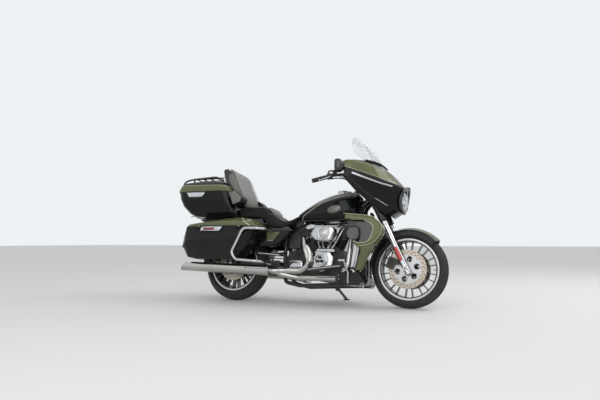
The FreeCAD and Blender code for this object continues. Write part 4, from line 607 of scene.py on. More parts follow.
def spun(bm, profile, centre, axis, steps=32):
    """A profile of (along, r) points turned about an axis through the centre."""
    axis, side, other = frame_of(axis)
    centre = Vector(centre)
    rings = []
    for turn in turns(steps):
        out = side * math.cos(turn) + other * math.sin(turn)
        rings.append([centre + axis * along + out * r for along, r in profile])
    skin(bm, rings, around=False, wrap=True)
    bmesh.ops.remove_doubles(bm, verts=bm.verts, dist=0.01)


def side_plate(bm, outline, y_low, y_high):
    """A flat plate with an outline of (x, z) corners, between two distances from the centre line."""
    skin(bm, [[(x, y, z) for x, z in outline] for y in (y_low, y_high)], caps=True)


def bolts(bm, places, axis, size, height=4.0):
    """Hex bolt heads with washers, standing along the axis at each place."""
    axis, side, other = frame_of(axis)
    for place in places:
        for radius, low, high, count in ((size * 1.35, 0.0, height * 0.25, 20),
                                         (size, height * 0.2, height, 6)):
            rings = []
            for along, share in ((low, 1.0), (high * 0.85, 1.0), (high, 0.86)):
                rings.append([Vector(place) + axis * along
                              + (side * math.cos(turn) + other * math.sin(turn)) * radius * share
                              for turn in turns(count)])
            skin(bm, rings, caps=True)


def speaker(bm, rim, reach, centre, facing):
    """A round grille: its rim, and rings inside it up to its reach."""
    spun(bm, rim, centre, facing, 48)
    for ring in range(8, reach, 6):
        spun(bm, [(0, ring), (2.5, ring + 1), (2.5, ring + 2.6), (0, ring + 3.6)], centre, facing, 40)


def rounded_ring(x, low, high, half, power, count=28):
    """A cross ring at station x: a rounded box, drawn from its lower edge."""
    middle = (low + high) / 2
    ring = []
    for turn in turns(count):
        turn -= math.pi / 2
        up = squared(math.sin(turn), power)
        ring.append((x, half * squared(math.cos(turn), power), middle + (high - low) / 2 * up))
    return ring


def both_sides(bm):
    """Adds the mirror image of everything drawn so far on the other side."""
    copied = bmesh.ops.duplicate(bm, geom=bm.verts[:] + bm.edges[:] + bm.faces[:])["geom"]
    for item in copied:
        if isinstance(item, bmesh.types.BMVert):
            item.co.y = -item.co.y
    bmesh.ops.reverse_faces(bm, faces=[item for item in copied if isinstance(item, bmesh.types.BMFace)])


def piece(name, bm, material, slot, body="chassis", smooth=True, levels=0, bevel=0.0, replaces=()):
    """Makes an object from a bmesh drawn upright in millimetres, in its parked place, riding on its body."""
    bmesh.ops.recalc_face_normals(bm, faces=bm.faces)
    mesh = bpy.data.meshes.new(name)
    bm.to_mesh(mesh)
    bm.free()
    mesh.transform(SPACES[body])
    obj = bpy.data.objects.new(name, mesh)
    bpy.context.scene.collection.objects.link(obj)
    mesh.materials.append(MATERIALS[material])
    for polygon in mesh.polygons:
        polygon.use_smooth = smooth
    if bevel:
        made = obj.modifiers.new("Soft Edges", "BEVEL")
        made.width = bevel * MM
        made.segments = 3
        made.limit_method = "ANGLE"
        made.angle_limit = math.radians(35)
        made.harden_normals = True
    if levels:
        made = obj.modifiers.new("Smooth Form", "SUBSURF")
        made.levels = made.render_levels = levels
    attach(obj, body)
    if replaces:
        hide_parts(*replaces)
    return obj


@contextlib.contextmanager
def drawing(name, material, slot, body="chassis", mirrored=False, **options):
    """Gives a bmesh to draw in, and makes its piece afterwards, with its mirror image where it has one."""
    bm = bmesh.new()
    yield bm
    if mirrored:
        both_sides(bm)
    piece(name, bm, material, slot, body, **options)


def cushion(name, bm, material, fill, body="chassis", **options):
    """Makes a soft piece."""
    made = piece(name, bm, material, "leather", body, **options)


def dress(node, material, angle):
    """Gives a CAD node that keeps its shape its finish, smooth apart from its real edges."""
    obj = NODES[node]
    mesh = obj.data
    mesh.materials.clear()
    mesh.materials.append(MATERIALS[material])
    if "custom_normal" in mesh.attributes:
        mesh.attributes.remove(mesh.attributes["custom_normal"])
    for polygon in mesh.polygons:
        polygon.use_smooth = True
    obj.modifiers.new("Joined Faces", "WELD").merge_threshold = 0.00002
    obj.modifiers.new("Real Edges", "EDGE_SPLIT").split_angle = math.radians(angle)


# Operators
class CRUISER_OT_materials(bpy.types.Operator):
    """Make the finishes that the pieces share"""
    bl_idname = "cruiser.materials"
    bl_label = "Finishes"

    def execute(self, context):
        build_materials(context.scene)
        return {"FINISHED"}


# The finish of each CAD node, and the nodes whose creases are shallow
NODE_FINISHES = {
    "black_metal": ("frame", "rocker_covers", "swingarm", "rear_caliper", "shocks", "fork_yokes",
                    "front_calipers", "luggage_rack", "side_stand"),
    "engine": ("crankcase", "gearbox", "cylinders", "primary_cover"),
    "chrome": ("pushrod_tubes", "cam_cover", "air_cleaner", "tank_console", "bag_guards", "engine_guard",
               "foot_levers", "fork_legs"),
    "exhaust": ("exhaust_headers", "mufflers"),
    "steel": ("rear_axle", "front_axle"),
    "silver": ("fairing_strips",),
    "wheel": ("front_wheel", "rear_wheel", "rear_pulley"),
    "front_disc": ("front_discs",),
    "rear_disc": ("rear_disc",),
    "tyre": ("front_tyre", "rear_tyre"),
    "rubber": ("drive_belt",),
    "leather": ("seat", "armrests"),
    "paint": ("rear_fender", "saddlebag_right", "saddlebag_left", "trunk_box", "cooler_shroud"),
    "band": ("leg_fairings",),
    "tank": ("fuel_tank",),
    "side_cover": ("side_covers",),
    "front_fender": ("front_fender",),
    "fairing": ("outer_fairing",),
    "trunk_lid": ("trunk_lid",),
    "bag_lid": ("bag_lid_right", "bag_lid_left"),
    "plastic": ("battery_box", "footboards", "plate_bracket", "inner_fairing", "handlebar"),
    "gloss_plastic": ("leg_panels", "mirrors", "backrest"),
    "clear_lens": ("rear_lamps", "headlamp"),
    "screen": ("windshield",),
}
SHALLOW_CREASES = ("saddlebag_right", "saddlebag_left", "trunk_box")


class CRUISER_OT_frame_finishes(bpy.types.Operator):
    """Give each CAD node its finish"""
    bl_idname = "cruiser.frame_finishes"
    bl_label = "Frame Finishes"

    def execute(self, context):
        for material, nodes in NODE_FINISHES.items():
            for node in nodes:
                dress(node, material, 9.0 if node in SHALLOW_CREASES else 32.0)
        return {"FINISHED"}


# Cross rings of the seat's two cushions: x, lower z, upper z, half width
PASSENGER_SEAT = ((40, 770, 846, 138), (60, 748, 862, 156), (140, 744, 868, 161), (230, 744, 869, 161),
                  (300, 738, 868, 160), (338, 700, 858, 162), (362, 676, 828, 166), (378, 664, 800, 170))
RIDER_SEAT = ((330, 664, 796, 160), (352, 658, 806, 172), (380, 654, 810, 181), (410, 652, 800, 183),
              (442, 650, 776, 182), (478, 648, 744, 177), (515, 652, 729, 168), (555, 672, 727, 146),
              (590, 696, 745, 118), (618, 716, 768, 94), (634, 736, 776, 78))
# Level rings of the backrest's cushion, which wraps its shell: z, rear x, front x, half width
BACKREST = ((884, 36, 72, 148), (900, 28, 84, 166), (930, 16, 88, 180), (976, -6, 84, 184),
            (1020, -28, 66, 184.5), (1060, -50, 44, 184.5), (1095, -82, 26, 184), (1130, -94, 8, 184),
            (1165, -94, -8, 183), (1198, -94, -26, 178), (1224, -96, -50, 164), (1243, -99, -76, 140))
ARMREST = ((64, 856), (17, 966), (70, 987), (145, 923), (136, 881))


def bolster_rings():
    """The rider's back pad, leaning with the step between the two seats."""
    rings = []
    for along, share in ((-36, 0.72), (-26, 0.93), (0, 1.0), (26, 0.93), (38, 0.7)):
        ring = []
        for turn in turns(28):
            lift = math.sin(turn) * 11 * share
            across = squared(math.cos(turn), 0.5) * 138 * share
            ring.append((366 + along * 0.57 + lift * 0.82, across, 832 - along * 0.82 + lift * 0.57))
        rings.append(ring)
    return rings


def backrest_rings():
    """Rounded boxes with a front that is hollow in the middle."""
    rings = []
    for z, rear, front, half in BACKREST:
        ring = []
        for turn in turns(36):
            across = squared(math.cos(turn), 0.35) * half
            deep = squared(math.sin(turn), 0.45) * (front - rear) / 2
            if deep > 0:
                deep -= 12 * max(0.0, 1 - (across / half) ** 2)
            ring.append(((front + rear) / 2 + deep, across, z))
        rings.append(ring)
    return rings


class CRUISER_OT_cushions(bpy.types.Operator):
    """Seat, backrest and armrests, with their piping"""
    bl_idname = "cruiser.cushions"
    bl_label = "Cushions"

    def execute(self, context):
        piping = context.scene.cruiser_trim.piping / MM
        for name, stations, replaced in (("passenger_cushion", PASSENGER_SEAT, ("seat",)),
                                         ("rider_cushion", RIDER_SEAT, ())):
            bm = bmesh.new()
            skin(bm, [rounded_ring(*station, 0.42) for station in stations], caps=True)
            cushion(name, bm, "leather", 0.75, levels=2, replaces=replaced)
        # The rider's bolster is painted light grey-beige: a painted sheen on its black leather.
        bm = bmesh.new()
        skin(bm, bolster_rings(), caps=True)
        cushion("rider_bolster", bm, "painted_sheen_leather", 0.8, levels=1)
        for name, stations in (("passenger_piping", PASSENGER_SEAT[1:-1]), ("rider_piping", RIDER_SEAT[1:])):
            with drawing(name, "piping", "leather", mirrored=True) as bm:
                rod(bm, [(x, half * 0.93, low + (high - low) * 0.86) for x, low, high, half in stations],
                    piping)
        with drawing("passenger_seams", "piping", "leather") as bm:
            for x in (120, 200, 280):
                rod(bm, [(x, -146, 858), (x + 4, -80, 869.2), (x + 6, 0, 870), (x + 4, 80, 869.2),
                         (x, 146, 858)], 1.6, sides=6)
        # The backrest cushion is painted light grey-beige: a painted sheen on its black leather.
        bm = bmesh.new()
        skin(bm, backrest_rings(), caps=True)
        cushion("backrest_cushion", bm, "painted_sheen_leather", 0.8, "trunk_lid_body", levels=2)
        with drawing("backrest_piping", "piping", "leather", "trunk_lid_body") as bm:
            edge = [(front - 5, half * 0.94, z) for z, rear, front, half in BACKREST[1:]]
            rod(bm, edge + flipped(edge[::-1]), piping)
        # The armrest pads are seen from their outer side, with a rounded rim, and are painted pale: a painted
        # sheen on their black leather.
        middle_x = sum(x for x, z in ARMREST) / len(ARMREST)
        middle_z = sum(z for x, z in ARMREST) / len(ARMREST)
        bm = bmesh.new()
        skin(bm, [[(middle_x + (x - middle_x) * share, y, middle_z + (z - middle_z) * share)
                   for x, z in ARMREST]
                  for y, share in ((296, 0.98), (303, 1.0), (309, 0.95), (312, 0.8))], caps=True)
        both_sides(bm)
        cushion("armrest_pads", bm, "painted_sheen_leather", 0.8, bevel=5)
        with drawing("armrest_piping", "piping", "leather", mirrored=True) as bm:
            tube(bm, [(x, 302, z) for x, z in ARMREST], piping, closed=True)
        return {"FINISHED"}


# Each wheel, in millimetres: half widths are at the tread, at the bead and at the rim's edge
WHEELS = {
    "front": {"axle": FRONT_AXLE, "radius": 319.0, "half": 65.0, "crown": 68.0, "bead": 241.3,
              "bead_half": 44.0, "edge": 51.6, "hub": 74.5},
    "rear": {"axle": REAR_AXLE, "radius": 327.5, "half": 90.0, "crown": 92.0, "bead": 228.6,
             "bead_half": 68.0, "edge": 75.3, "hub": 81.5},
}
TREAD_STEPS = 180
TREAD_FLATS = 18


def is_groove(step, flat):
    """Whether a face of the tread is sunk: slanted cuts on both sides, which meet a ring near the middle."""
    away = min(flat, TREAD_FLATS - 1 - flat)
    lane = (step + 2 * away) % 12
    return away == 6 or (2 <= away <= 5 and lane == 0) or (away <= 2 and lane == 6)


def make_tyre(end, axle, radius, half, crown, bead, bead_half, depth):
    """A tyre with a rounded crown, side wall ribs, and grooves sunk into the tread."""
    tread = []
    shoulder = math.asin(min(0.97, half * 0.94 / crown))
    for step in range(TREAD_FLATS + 1):
        turn = shoulder * (2 * step / TREAD_FLATS - 1)
        tread.append((crown * math.sin(turn), radius - crown + crown * math.cos(turn)))
    side = [(-bead_half, bead + 1), (-bead_half - 1, bead + 12), (-half * 0.9, bead + 22),
            (-half * 0.985, bead + 33), (-half * 0.975, bead + 36), (-half * 0.995, bead + 39)]
    side = [point for point in side if point[1] < tread[0][1] - 2]
    bm = bmesh.new()
    rows = lathe(bm, side + tread + [(-y, r) for y, r in side[::-1]], axle[0], axle[2], TREAD_STEPS)
    faces = {frozenset(face.verts): face for face in bm.faces}
    grooves = []
    for step, row in enumerate(rows):
        after = rows[(step + 1) % TREAD_STEPS]
        for flat in range(TREAD_FLATS):
            if is_groove(step, flat):
                index = len(side) + flat
                grooves.append(faces[frozenset(row[index:index + 2] + after[index:index + 2])])
    bmesh.ops.recalc_face_normals(bm, faces=bm.faces)
    bmesh.ops.inset_region(bm, faces=grooves, thickness=0.6, depth=-depth, use_even_offset=True)
    tyre = piece(end + "_tyre_tread", bm, "tyre", "tyre_rubber", end + "_wheel_body",
                 replaces=(end + "_tyre",))
    tyre.modifiers.new("Groove Edges", "EDGE_SPLIT").split_angle = math.radians(40)


class CRUISER_OT_wheels(bpy.types.Operator):
    """Tyres with tread, rim edges, valves, hub rings, disc bolts, and the drive pulley's teeth and bolts"""
    bl_idname = "cruiser.wheels"
    bl_label = "Wheels"

    def execute(self, context):
        depth = context.scene.cruiser_trim.tread_depth / MM
        for end, wheel in WHEELS.items():
            make_tyre(end, wheel["axle"], wheel["radius"], wheel["half"], wheel["crown"], wheel["bead"],
                      wheel["bead_half"], depth)
        for end, wheel in WHEELS.items():
            x, _, z = wheel["axle"]
            bead, edge, hub = wheel["bead"], wheel["edge"], wheel["hub"]
            body = end + "_wheel_body"
            with drawing(end + "_rim_edge", "steel", "axle_steel", body, mirrored=True) as bm:
                lathe(bm, [(edge - 0.4, bead - 3), (edge + 0.5, bead - 1), (edge + 0.5, bead + 11),
                           (edge - 0.4, bead + 13.4)], x, z, 128)
            with drawing(end + "_valve", "black_metal", "wheel_black", body) as bm:
                spun(bm, [(0, 0.1), (0, 4), (16, 4), (18, 3), (30, 3), (30, 0.1)], (x + bead - 14, 0, z),
                     (-1, 0, 0), 12)
            with drawing(end + "_hub_ring", "steel", "axle_steel", body, mirrored=True) as bm:
                lathe(bm, [(hub + 0.6, 14), (hub + 3, 20), (hub + 3, 27), (hub + 0.6, 33)], x, z, 40)
        with drawing("front_disc_bolts", "steel", "disc_steel", "front_wheel_body") as bm:
            for side in SIDES:
                bolts(bm, circle(10, 112, (FRONT_AXLE[0], side * 79.6, FRONT_AXLE[2]), 0.15), (0, side, 0),
                      5.2, 4.5)
        with drawing("rear_disc_bolts", "steel", "disc_steel", "rear_wheel_body") as bm:
            bolts(bm, circle(8, 98, (0, -86.6, REAR_AXLE[2]), 0.2), (0, -1, 0), 5.2, 4.5)
        with drawing("pulley_teeth", "wheel", "wheel_black", "rear_wheel_body", smooth=False) as bm:
            pitch_radius = 92.2
            for turn in turns(68):
                tooth = [(turn + along / pitch_radius, pitch_radius + out - 0.4)
                         for along, out in ((-1.6, 0), (1.6, 0), (1.0, 2.6), (-1.0, 2.6))]
                side_plate(bm, [(r * math.cos(a), REAR_AXLE[2] + r * math.sin(a)) for a, r in tooth], 95.6,
                           116.4)
            bolts(bm, circle(5, 42, (0, 106.2, REAR_AXLE[2]), math.radians(36)), (0, 1, 0), 5.5, 4.5)
        return {"FINISHED"}


FORK = Vector((-math.sin(HEAD_TILT), 0, math.cos(HEAD_TILT)))
AHEAD = Vector((math.cos(HEAD_TILT), 0, math.sin(HEAD_TILT)))
# Lower edge of the screen from its middle to the left, and its free edge from the left to the middle
SCREEN_FOOT = ((1400, 0, 1212), (1397, 60, 1213), (1392, 105, 1214), (1362, 180, 1218), (1340, 216, 1219),
               (1308, 254, 1221))
SCREEN_EDGE = ((1304, 259, 1228), (1240, 264, 1274), (1208, 264, 1332), (1188, 242, 1392), (1178, 207, 1426),
               (1170, 152, 1460), (1164, 82, 1482))


def fork_foot(side):
    """The wheel's axle line at one fork leg."""
    return Vector(FRONT_AXLE) + Vector((0, side * FORK_SPREAD, 0))


def lamp_ring(x, wide, high, bend):
    """A ring about the headlamp that follows the fairing's nose."""
    ring = []
    for turn in turns(64):
        y = wide * math.sin(turn)
        z = LAMP_HEIGHT + high * math.cos(turn)
        ring.append((x + 0.2 * (z - 800) - bend * abs(y), y, z))
    return ring


def reflector_rings(side):
    """A long red reflector on the outside of one fork leg."""
    out = Vector((0, side, 0))
    rings = []
    for along, width, lift in ((66, 7, 0.5), (74, 20, 2), (188, 20, 2), (198, 7, 0.5)):
        centre = fork_foot(side) + FORK * along + out * 25.2
        rings.append([centre + AHEAD * width - out * 3, centre + AHEAD * width * 0.7 + out * lift,
                      centre - AHEAD * width * 0.7 + out * lift, centre - AHEAD * width - out * 3])
    return rings


def brake_line(bm, side):
    """The bolts of one caliper, and its hose up to the yokes."""
    turn = math.radians(160)
    out = Vector((math.cos(turn), 0, math.sin(turn)))
    along = Vector((-math.sin(turn), 0, math.cos(turn)))
    axle = Vector(FRONT_AXLE)
    disc = axle + Vector((0, side * 77, 0))
    for shift in (-26, 0, 26):
        place = disc + out * 138 + along * shift
        bolts(bm, [(place.x, side * 107.3, place.z)], (0, side, 0), 6.5 if shift else 9.5)
    route = [disc + out * 168 + along * 30 + Vector((0, side * 22, 0)),
             disc + out * 196 + along * 30 + Vector((0, side * 24, 0))]
    for height, aside, back in ((300, 92, 34), (470, 80, 36), (560, 60, 40)):
        route.append(axle + FORK * height + Vector((0, side * aside, 0)) - AHEAD * back)
    rod(bm, route, 4.5, 8)


class CRUISER_OT_front_end(bpy.types.Operator):
    """Fork trim, brake hoses, headlamp trim, screen edge and gasket, fairing lines with a painted highlight
    along the chin, and mirrors
    """
    bl_idname = "cruiser.front_end"
    bl_label = "Front End"

    def execute(self, context):
        front = functools.partial(drawing, body="steered_front")
        with front("fork_reflectors", "reflector", "lamp_red", levels=1) as bm:
            for side in SIDES:
                skin(bm, reflector_rings(side), caps=True)
        with front("fork_rings", "chrome", "fork_chrome") as bm:
            for side in SIDES:
                foot = fork_foot(side)
                for along, radius in ((400, 29.6), (420, 29.0), (-40, 26.4), (60, 26.2)):
                    spun(bm, [(0, 24), (0, radius), (2, radius + 0.6), (8, radius + 0.6), (10, radius),
                              (10, 24)], foot + FORK * along, FORK)
                spun(bm, [(-10, 0.1), (-10, 9), (-6, 15), (0, 24.6)], foot - FORK * 48, FORK, 24)
        with front("front_brake_lines", "rubber", "control_black") as bm:
            for side in SIDES:
                brake_line(bm, side)
        with front("headlamp_bezel", "chrome", "trim_chrome") as bm:
            tube(bm, lamp_ring(1569, 87, 87, 0.17), 5.5, 10, closed=True, flat=0.7)
        with front("headlamp_surround", "gloss_plastic", "body_paint") as bm:
            tube(bm, lamp_ring(1578, 107, 104, 0.2), 16, 14, closed=True)
        with front("headlamp_reflectors", "chrome", "trim_chrome") as bm:
            rod(bm, [(1596, -46, 832), (1606, -30, 836), (1610, 0, 838), (1606, 30, 836), (1596, 46, 832)], 3)
            rod(bm, [(1592, -78, 900), (1602, -44, 900), (1606.5, 0, 900),
                     (1602, 44, 900), (1592, 78, 900)], 4)
            for y in (-38, 38):
                spun(bm, [(0, 0.1), (0, 22), (2.5, 25), (0, 28), (-6, 28)], (1599, y, 932),
                     (1, y * 0.003, 0.02))
                spun(bm, [(0, 0.1), (0, 18), (2.5, 21), (0, 24), (-6, 24)], (1598, y, 868),
                     (1, y * 0.003, -0.02))
        with front("screen_gasket", "rubber", "control_black") as bm:
            foot = [(x + 5, y, z) for x, y, z in SCREEN_FOOT]
            rod(bm, flipped(foot[:0:-1]) + foot, 7, sides=10, flat=0.8)
        with front("screen_edge", "screen", "clear_screen") as bm:
            rod(bm, flipped(SCREEN_EDGE) + [(1168, 0, 1488), *SCREEN_EDGE[::-1]], 2.6, 6)
        with front("screen_bolts", "chrome", "trim_chrome") as bm:
            for y in (-170, -90, 90, 170):
                x = 1402 - abs(y) * 0.13 - max(0, abs(y) - 100) * 0.25
                bolts(bm, [(x, y, 1222)], (0.7, 0, 0.7), 5)
        # The black slot between the painted band and the bright strip, and the line below the strip
        with front("fairing_slots", "gloss_plastic", "control_black", mirrored=True) as bm:
            rod(bm, [(1232, 372, 1112), (1336, 324, 1076), (1444, 253, 1040), (1519, 184, 1022),
                     (1566, 118, 1014)], 5, 6, flat=0.6)
            rod(bm, [(1212, 366, 1048), (1290, 322, 972), (1396, 252, 884), (1480, 184, 832)], 3, 6, flat=0.6)
        # A silver streak along the fairing's chin line: a painted highlight of the chin edge.
        with front("fairing_chin_highlight", "silver", "trim_chrome", mirrored=True) as bm:
            rod(bm, [(1400, 250, 888), (1446, 216, 858), (1488, 180, 833)], 3.2, 6, flat=0.7)
        with front("mirror_glass", "chrome", "trim_chrome", bevel=9) as bm:
            for side in SIDES:
                skin(bm, [[(x, side * MIRROR[0] + across * share, MIRROR[1] + up * share)
                           for across, up in ((-40, -46), (40, -46), (40, 46), (-40, 46))]
                          for x, share in ((1106.6, 1.0), (1105.4, 0.93))], caps=True)
        with front("mirror_shells", "gloss_plastic", "control_black") as bm:
            for side in SIDES:
                skin(bm, [[(at, side * MIRROR[0] + across, MIRROR[1] + up)
                           for at, across, up in rounded_ring(x, -high, high, half, 0.55, 32)]
                          for x, half, high in ((1107, 44, 50), (1110, 49, 56), (1132, 49, 56),
                                                (1150, 44, 50), (1164, 34, 38), (1172, 20, 22))], caps=True)
        with front("fender_bolts", "chrome", "trim_chrome") as bm:
            for side in SIDES:
                bolts(bm, [(1492, side * 96, 576), (1504, side * 96, 588)], (0, side, 0), 4.5, 3)
        return {"FINISHED"}


def grip_profile():
    """A ribbed grip with its end cap, as (along, r) points."""
    profile = [(-118, 17)]
    for rib in range(14):
        along = -112 + rib * 8
        profile += [(along, 17.4), (along + 1.5, 19.2), (along + 5, 19.2), (along + 6.5, 17.4)]
    return profile + [(4, 19), (9, 17), (10, 0.1)]


def draw_handlebar_end(label, side):
    """Grip, switches, lever and master cylinder of one end of the handlebar."""
    front = functools.partial(drawing, body="steered_front")
    end = Vector((913, side * 430, 1028))
    out = (end - Vector((1047, side * 336, 1085))).normalized()
    with front(label + "_grip", "rubber", "control_black") as bm:
        spun(bm, grip_profile(), end, out, 28)
    with front(label + "_switches", "gloss_plastic", "control_black") as bm:
        spun(bm, [(-170, 14), (-168, 25), (-164, 26), (-148, 26.4), (-147, 25.4), (-145, 25.4), (-144, 26.4),
                  (-128, 26), (-124, 24), (-123, 17)], end, out)
        spun(bm, [(0, 0.1), (0, 5), (3, 6), (6, 4), (6, 0.1)], end - out * 140 + Vector((-24, 0, 4)),
             (-1, 0, 0), 12)
        spun(bm, [(0, 0.1), (0, 4), (3, 5), (5, 3), (5, 0.1)], end - out * 152 + Vector((-23, 0, 10)),
             (-1, 0, 0.3), 12)
    with front(label + "_lever", "chrome", "trim_chrome") as bm:
        root = end - out * 158 + Vector((22, 0, 4))
        tip = end - out * 2 + Vector((52, -side * 10, 2))
        middle = root.lerp(tip, 0.35) + Vector((10, 0, 1))
        late = root.lerp(tip, 0.7) + Vector((4, 0, 0))
        rod(bm, [root - Vector((6, 0, 0)), middle, late, tip], 7.2, 8, 12, 0.75)
        spun(bm, [(-9, 0.1), (-9, 7), (-3, 9), (3, 9), (9, 7), (9, 0.1)], tip, out, 16)
    with front(label + "_master_cylinder", "plastic", "control_black") as bm:
        spun(bm, [(-16, 0.1), (-16, 17), (-14, 19), (10, 19), (12, 21), (17, 21), (18, 19), (18, 0.1)],
             end - out * 176 + Vector((18, 0, 22)), (0.1, 0, 1), 28)
        rod(bm, [end - out * 176 + Vector((26, 0, 8)), (1110, side * 280, 1082), (1190, side * 210, 1060),
                 (1246, side * 140, 1040), (1290, side * 96, 990)], 4, 8)
        rod(bm, [end - out * 150 + Vector((4, 0, -24)), (1096, side * 284, 1070), (1180, side * 214, 1052),
                 (1240, side * 130, 1020)], 5, 8)


class CRUISER_OT_controls(bpy.types.Operator):
    """Grips, levers, switches, gauges, speakers and the display on the dash"""
    bl_idname = "cruiser.controls"
    bl_label = "Controls"

    def execute(self, context):
        front = functools.partial(drawing, body="steered_front")
        for side, label in ((-1, "right"), (1, "left")):
            draw_handlebar_end(label, side)
        facing = Vector((-0.96, 0, 0.1)).normalized()
        with front("dial_rims", "chrome", "trim_chrome") as bm:
            for dial in DIALS:
                spun(bm, [(-8, 0.1), (-8, 43), (3, 45), (7, 42), (5, 38), (2, 37)], dial, facing, 48)
            for dial in SMALL_DIALS:
                spun(bm, [(-6, 0.1), (-6, 17), (3, 18.5), (5, 16), (2, 15)], dial, facing)
        with front("dial_faces", "dial", "dash_black") as bm:
            for dial in DIALS:
                spun(bm, [(-4, 38.5), (2.4, 38), (2.4, 0.1)], dial, facing, 48)
            for dial in SMALL_DIALS:
                spun(bm, [(-3, 15.5), (2.2, 15.4), (2.2, 0.1)], dial, facing)
        with front("dial_hands", "black_metal", "dash_black") as bm:
            for dial, turn in zip(DIALS, (0.7, -0.5)):
                centre = Vector(dial) + Vector((-3.2, 0, 0.4))
                tube(bm, [centre, centre + Vector((0, math.sin(turn) * 30, math.cos(turn) * 30))], 1.4, 6)
                spun(bm, [(0, 0.1), (0, 5), (2, 5), (2, 0.1)], centre, facing, 16)
                for mark in range(11):
                    angle = math.radians(-130 + 26 * mark)
                    tube(bm, [centre + Vector((0.4, math.sin(angle) * reach, math.cos(angle) * reach))
                              for reach in (33, 36)], 0.8, 4)
        with front("dash_display", "display", "dash_black", bevel=4) as bm:
            skin(bm, [[(x, across * share, 1112 + up * share)
                       for across, up in ((-80, -28), (80, -28), (80, 28), (-80, 28))]
                      for x, share in ((1270, 1.0), (1254, 1.0), (1252, 0.95))], caps=True)
        with front("speaker_grilles", "plastic", "dash_black") as bm:
            for side in SIDES:
                speaker(bm, [(-6, 50), (4, 50), (7, 47), (4, 44)], 44, (1222, side * 272, 1096),
                        Vector((-0.9, -side * 0.42, 0.1)).normalized())
        return {"FINISHED"}


def badge_rings(scale, low, high):
    """An oval plate that lies on the tank's side, with a chamfered top."""
    rings = []
    for lift, share in ((low, 1.0), (high - 1, 1.0), (high, 0.96)):
        ring = []
        for turn in turns(56):
            along = 60 * scale * share * math.cos(turn)
            up = 36 * scale * share * math.sin(turn)
            x = 1004 + along
            y = 182.5 + lift - 0.00022 * along * along - 0.0016 * up * up - max(0, x - 1010) * 0.06
            ring.append((x, y, 812 + up + along * 0.16))
        rings.append(ring)
    return rings


class CRUISER_OT_tank_trim(bpy.types.Operator):
    """Bare badge, filler cap, gauge and lower seams of the tank"""
    bl_idname = "cruiser.tank_trim"
    bl_label = "Tank Trim"

    def execute(self, context):
        with drawing("tank_badge", "badge", "trim_chrome", mirrored=True) as bm:
            skin(bm, badge_rings(1.0, 0, 3), caps=True)
            skin(bm, badge_rings(0.86, 2.5, 4.5), caps=True)
        with drawing("filler_cap_trim", "chrome", "trim_chrome") as bm:
            cap = Vector((1020, 0, 1010))
            lean = (-0.12, 0, 1)
            spun(bm, [(-8, 44), (-1, 44), (1, 41)], cap, lean, 48)
            spun(bm, [(-2, 36), (2, 35), (3.5, 20), (4, 0.1)], cap, lean, 48)
            for turn in turns(20):
                place = cap + Vector((39.6 * math.cos(turn), 39.6 * math.sin(turn), -14))
                tube(bm, [place, place + Vector((0, 0, 14))], 1.8, 6)
        gauge = Vector((905, 0, 958))
        facing = (-0.3, 0, 1)
        with drawing("tank_gauge", "chrome", "trim_chrome") as bm:
            spun(bm, [(-9, 30), (3, 30), (5, 27), (2, 25), (1, 0.1)], gauge, facing, 48)
        with drawing("tank_gauge_face", "dial", "dash_black") as bm:
            spun(bm, [(1.6, 25), (2.4, 24), (2.4, 0.1)], gauge, facing, 40)
        with drawing("tank_seam", "gloss_plastic", "body_paint", mirrored=True) as bm:
            rod(bm, [(652, 108, 735), (710, 138, 722), (790, 160, 716), (880, 174, 713), (970, 179, 713),
                     (1060, 176, 718), (1130, 160, 730), (1178, 128, 757)], 4, flat=0.7)
        return {"FINISHED"}


def on_cylinder(x, z, lean):
    """The (x, z) place of a point x ahead of a cylinder's line and z up along it from the crank."""
    cos = math.cos(math.radians(lean))
    sin = math.sin(math.radians(lean))
    return CRANK[0] + x * cos + z * sin, CRANK[1] - x * sin + z * cos


def draw_plug(bm, lean, side):
    """A spark plug's cap on one side of a cylinder head, and its lead up under the tank."""
    x, z = on_cylinder(0, 286, lean)
    away = 1 if lean > 0 else -1
    plug = Vector((x + away * 30, side * 84, z))
    spun(bm, [(0, 0.1), (0, 9), (16, 9), (20, 6.5), (34, 6), (34, 0.1)], plug, (away * 0.15, side, 0.1), 16)
    end = plug + Vector((away * 5, side * 34, 3))
    rod(bm, [end, end + Vector((away * 3, side * 16, 12)), end + Vector((-away * 20, side * 6, 60)),
             (x - away * 22, side * 62, 722)], 3.6, 7)


def draw_collars(bm, lean):
    """Collars along both pushrod tubes of a cylinder."""
    for shift in (-16, 16):
        x, z = on_cylinder(shift, 308, lean)
        top = Vector((x, -118, z))
        foot = Vector((CRANK[0] + (34 if lean > 0 else -34) + shift, -176, 469))
        along = (top - foot).normalized()
        length = (top - foot).length
        for start, radius in ((0.03, 13), (0.3, 11.5), (0.36, 12.5), (0.9, 12)):
            spun(bm, [(0, 8.5), (0, radius - 1), (1.5, radius), (7, radius), (9, radius - 1.5), (9, 8.5)],
                 foot + along * length * start, along, 24)


def lobe(turn):
    """One of the sunk lobes in the cam cover's round face, as (x, z) corners."""
    x = CAM_COVER[0] + 21 * math.cos(turn)
    z = CAM_COVER[1] + 21 * math.sin(turn)
    corners = []
    for angle in turns(36):
        radius = 15 + 3 * math.cos(angle * 2)
        corners.append((x + radius * math.cos(angle), z + radius * math.sin(angle)))
    return corners


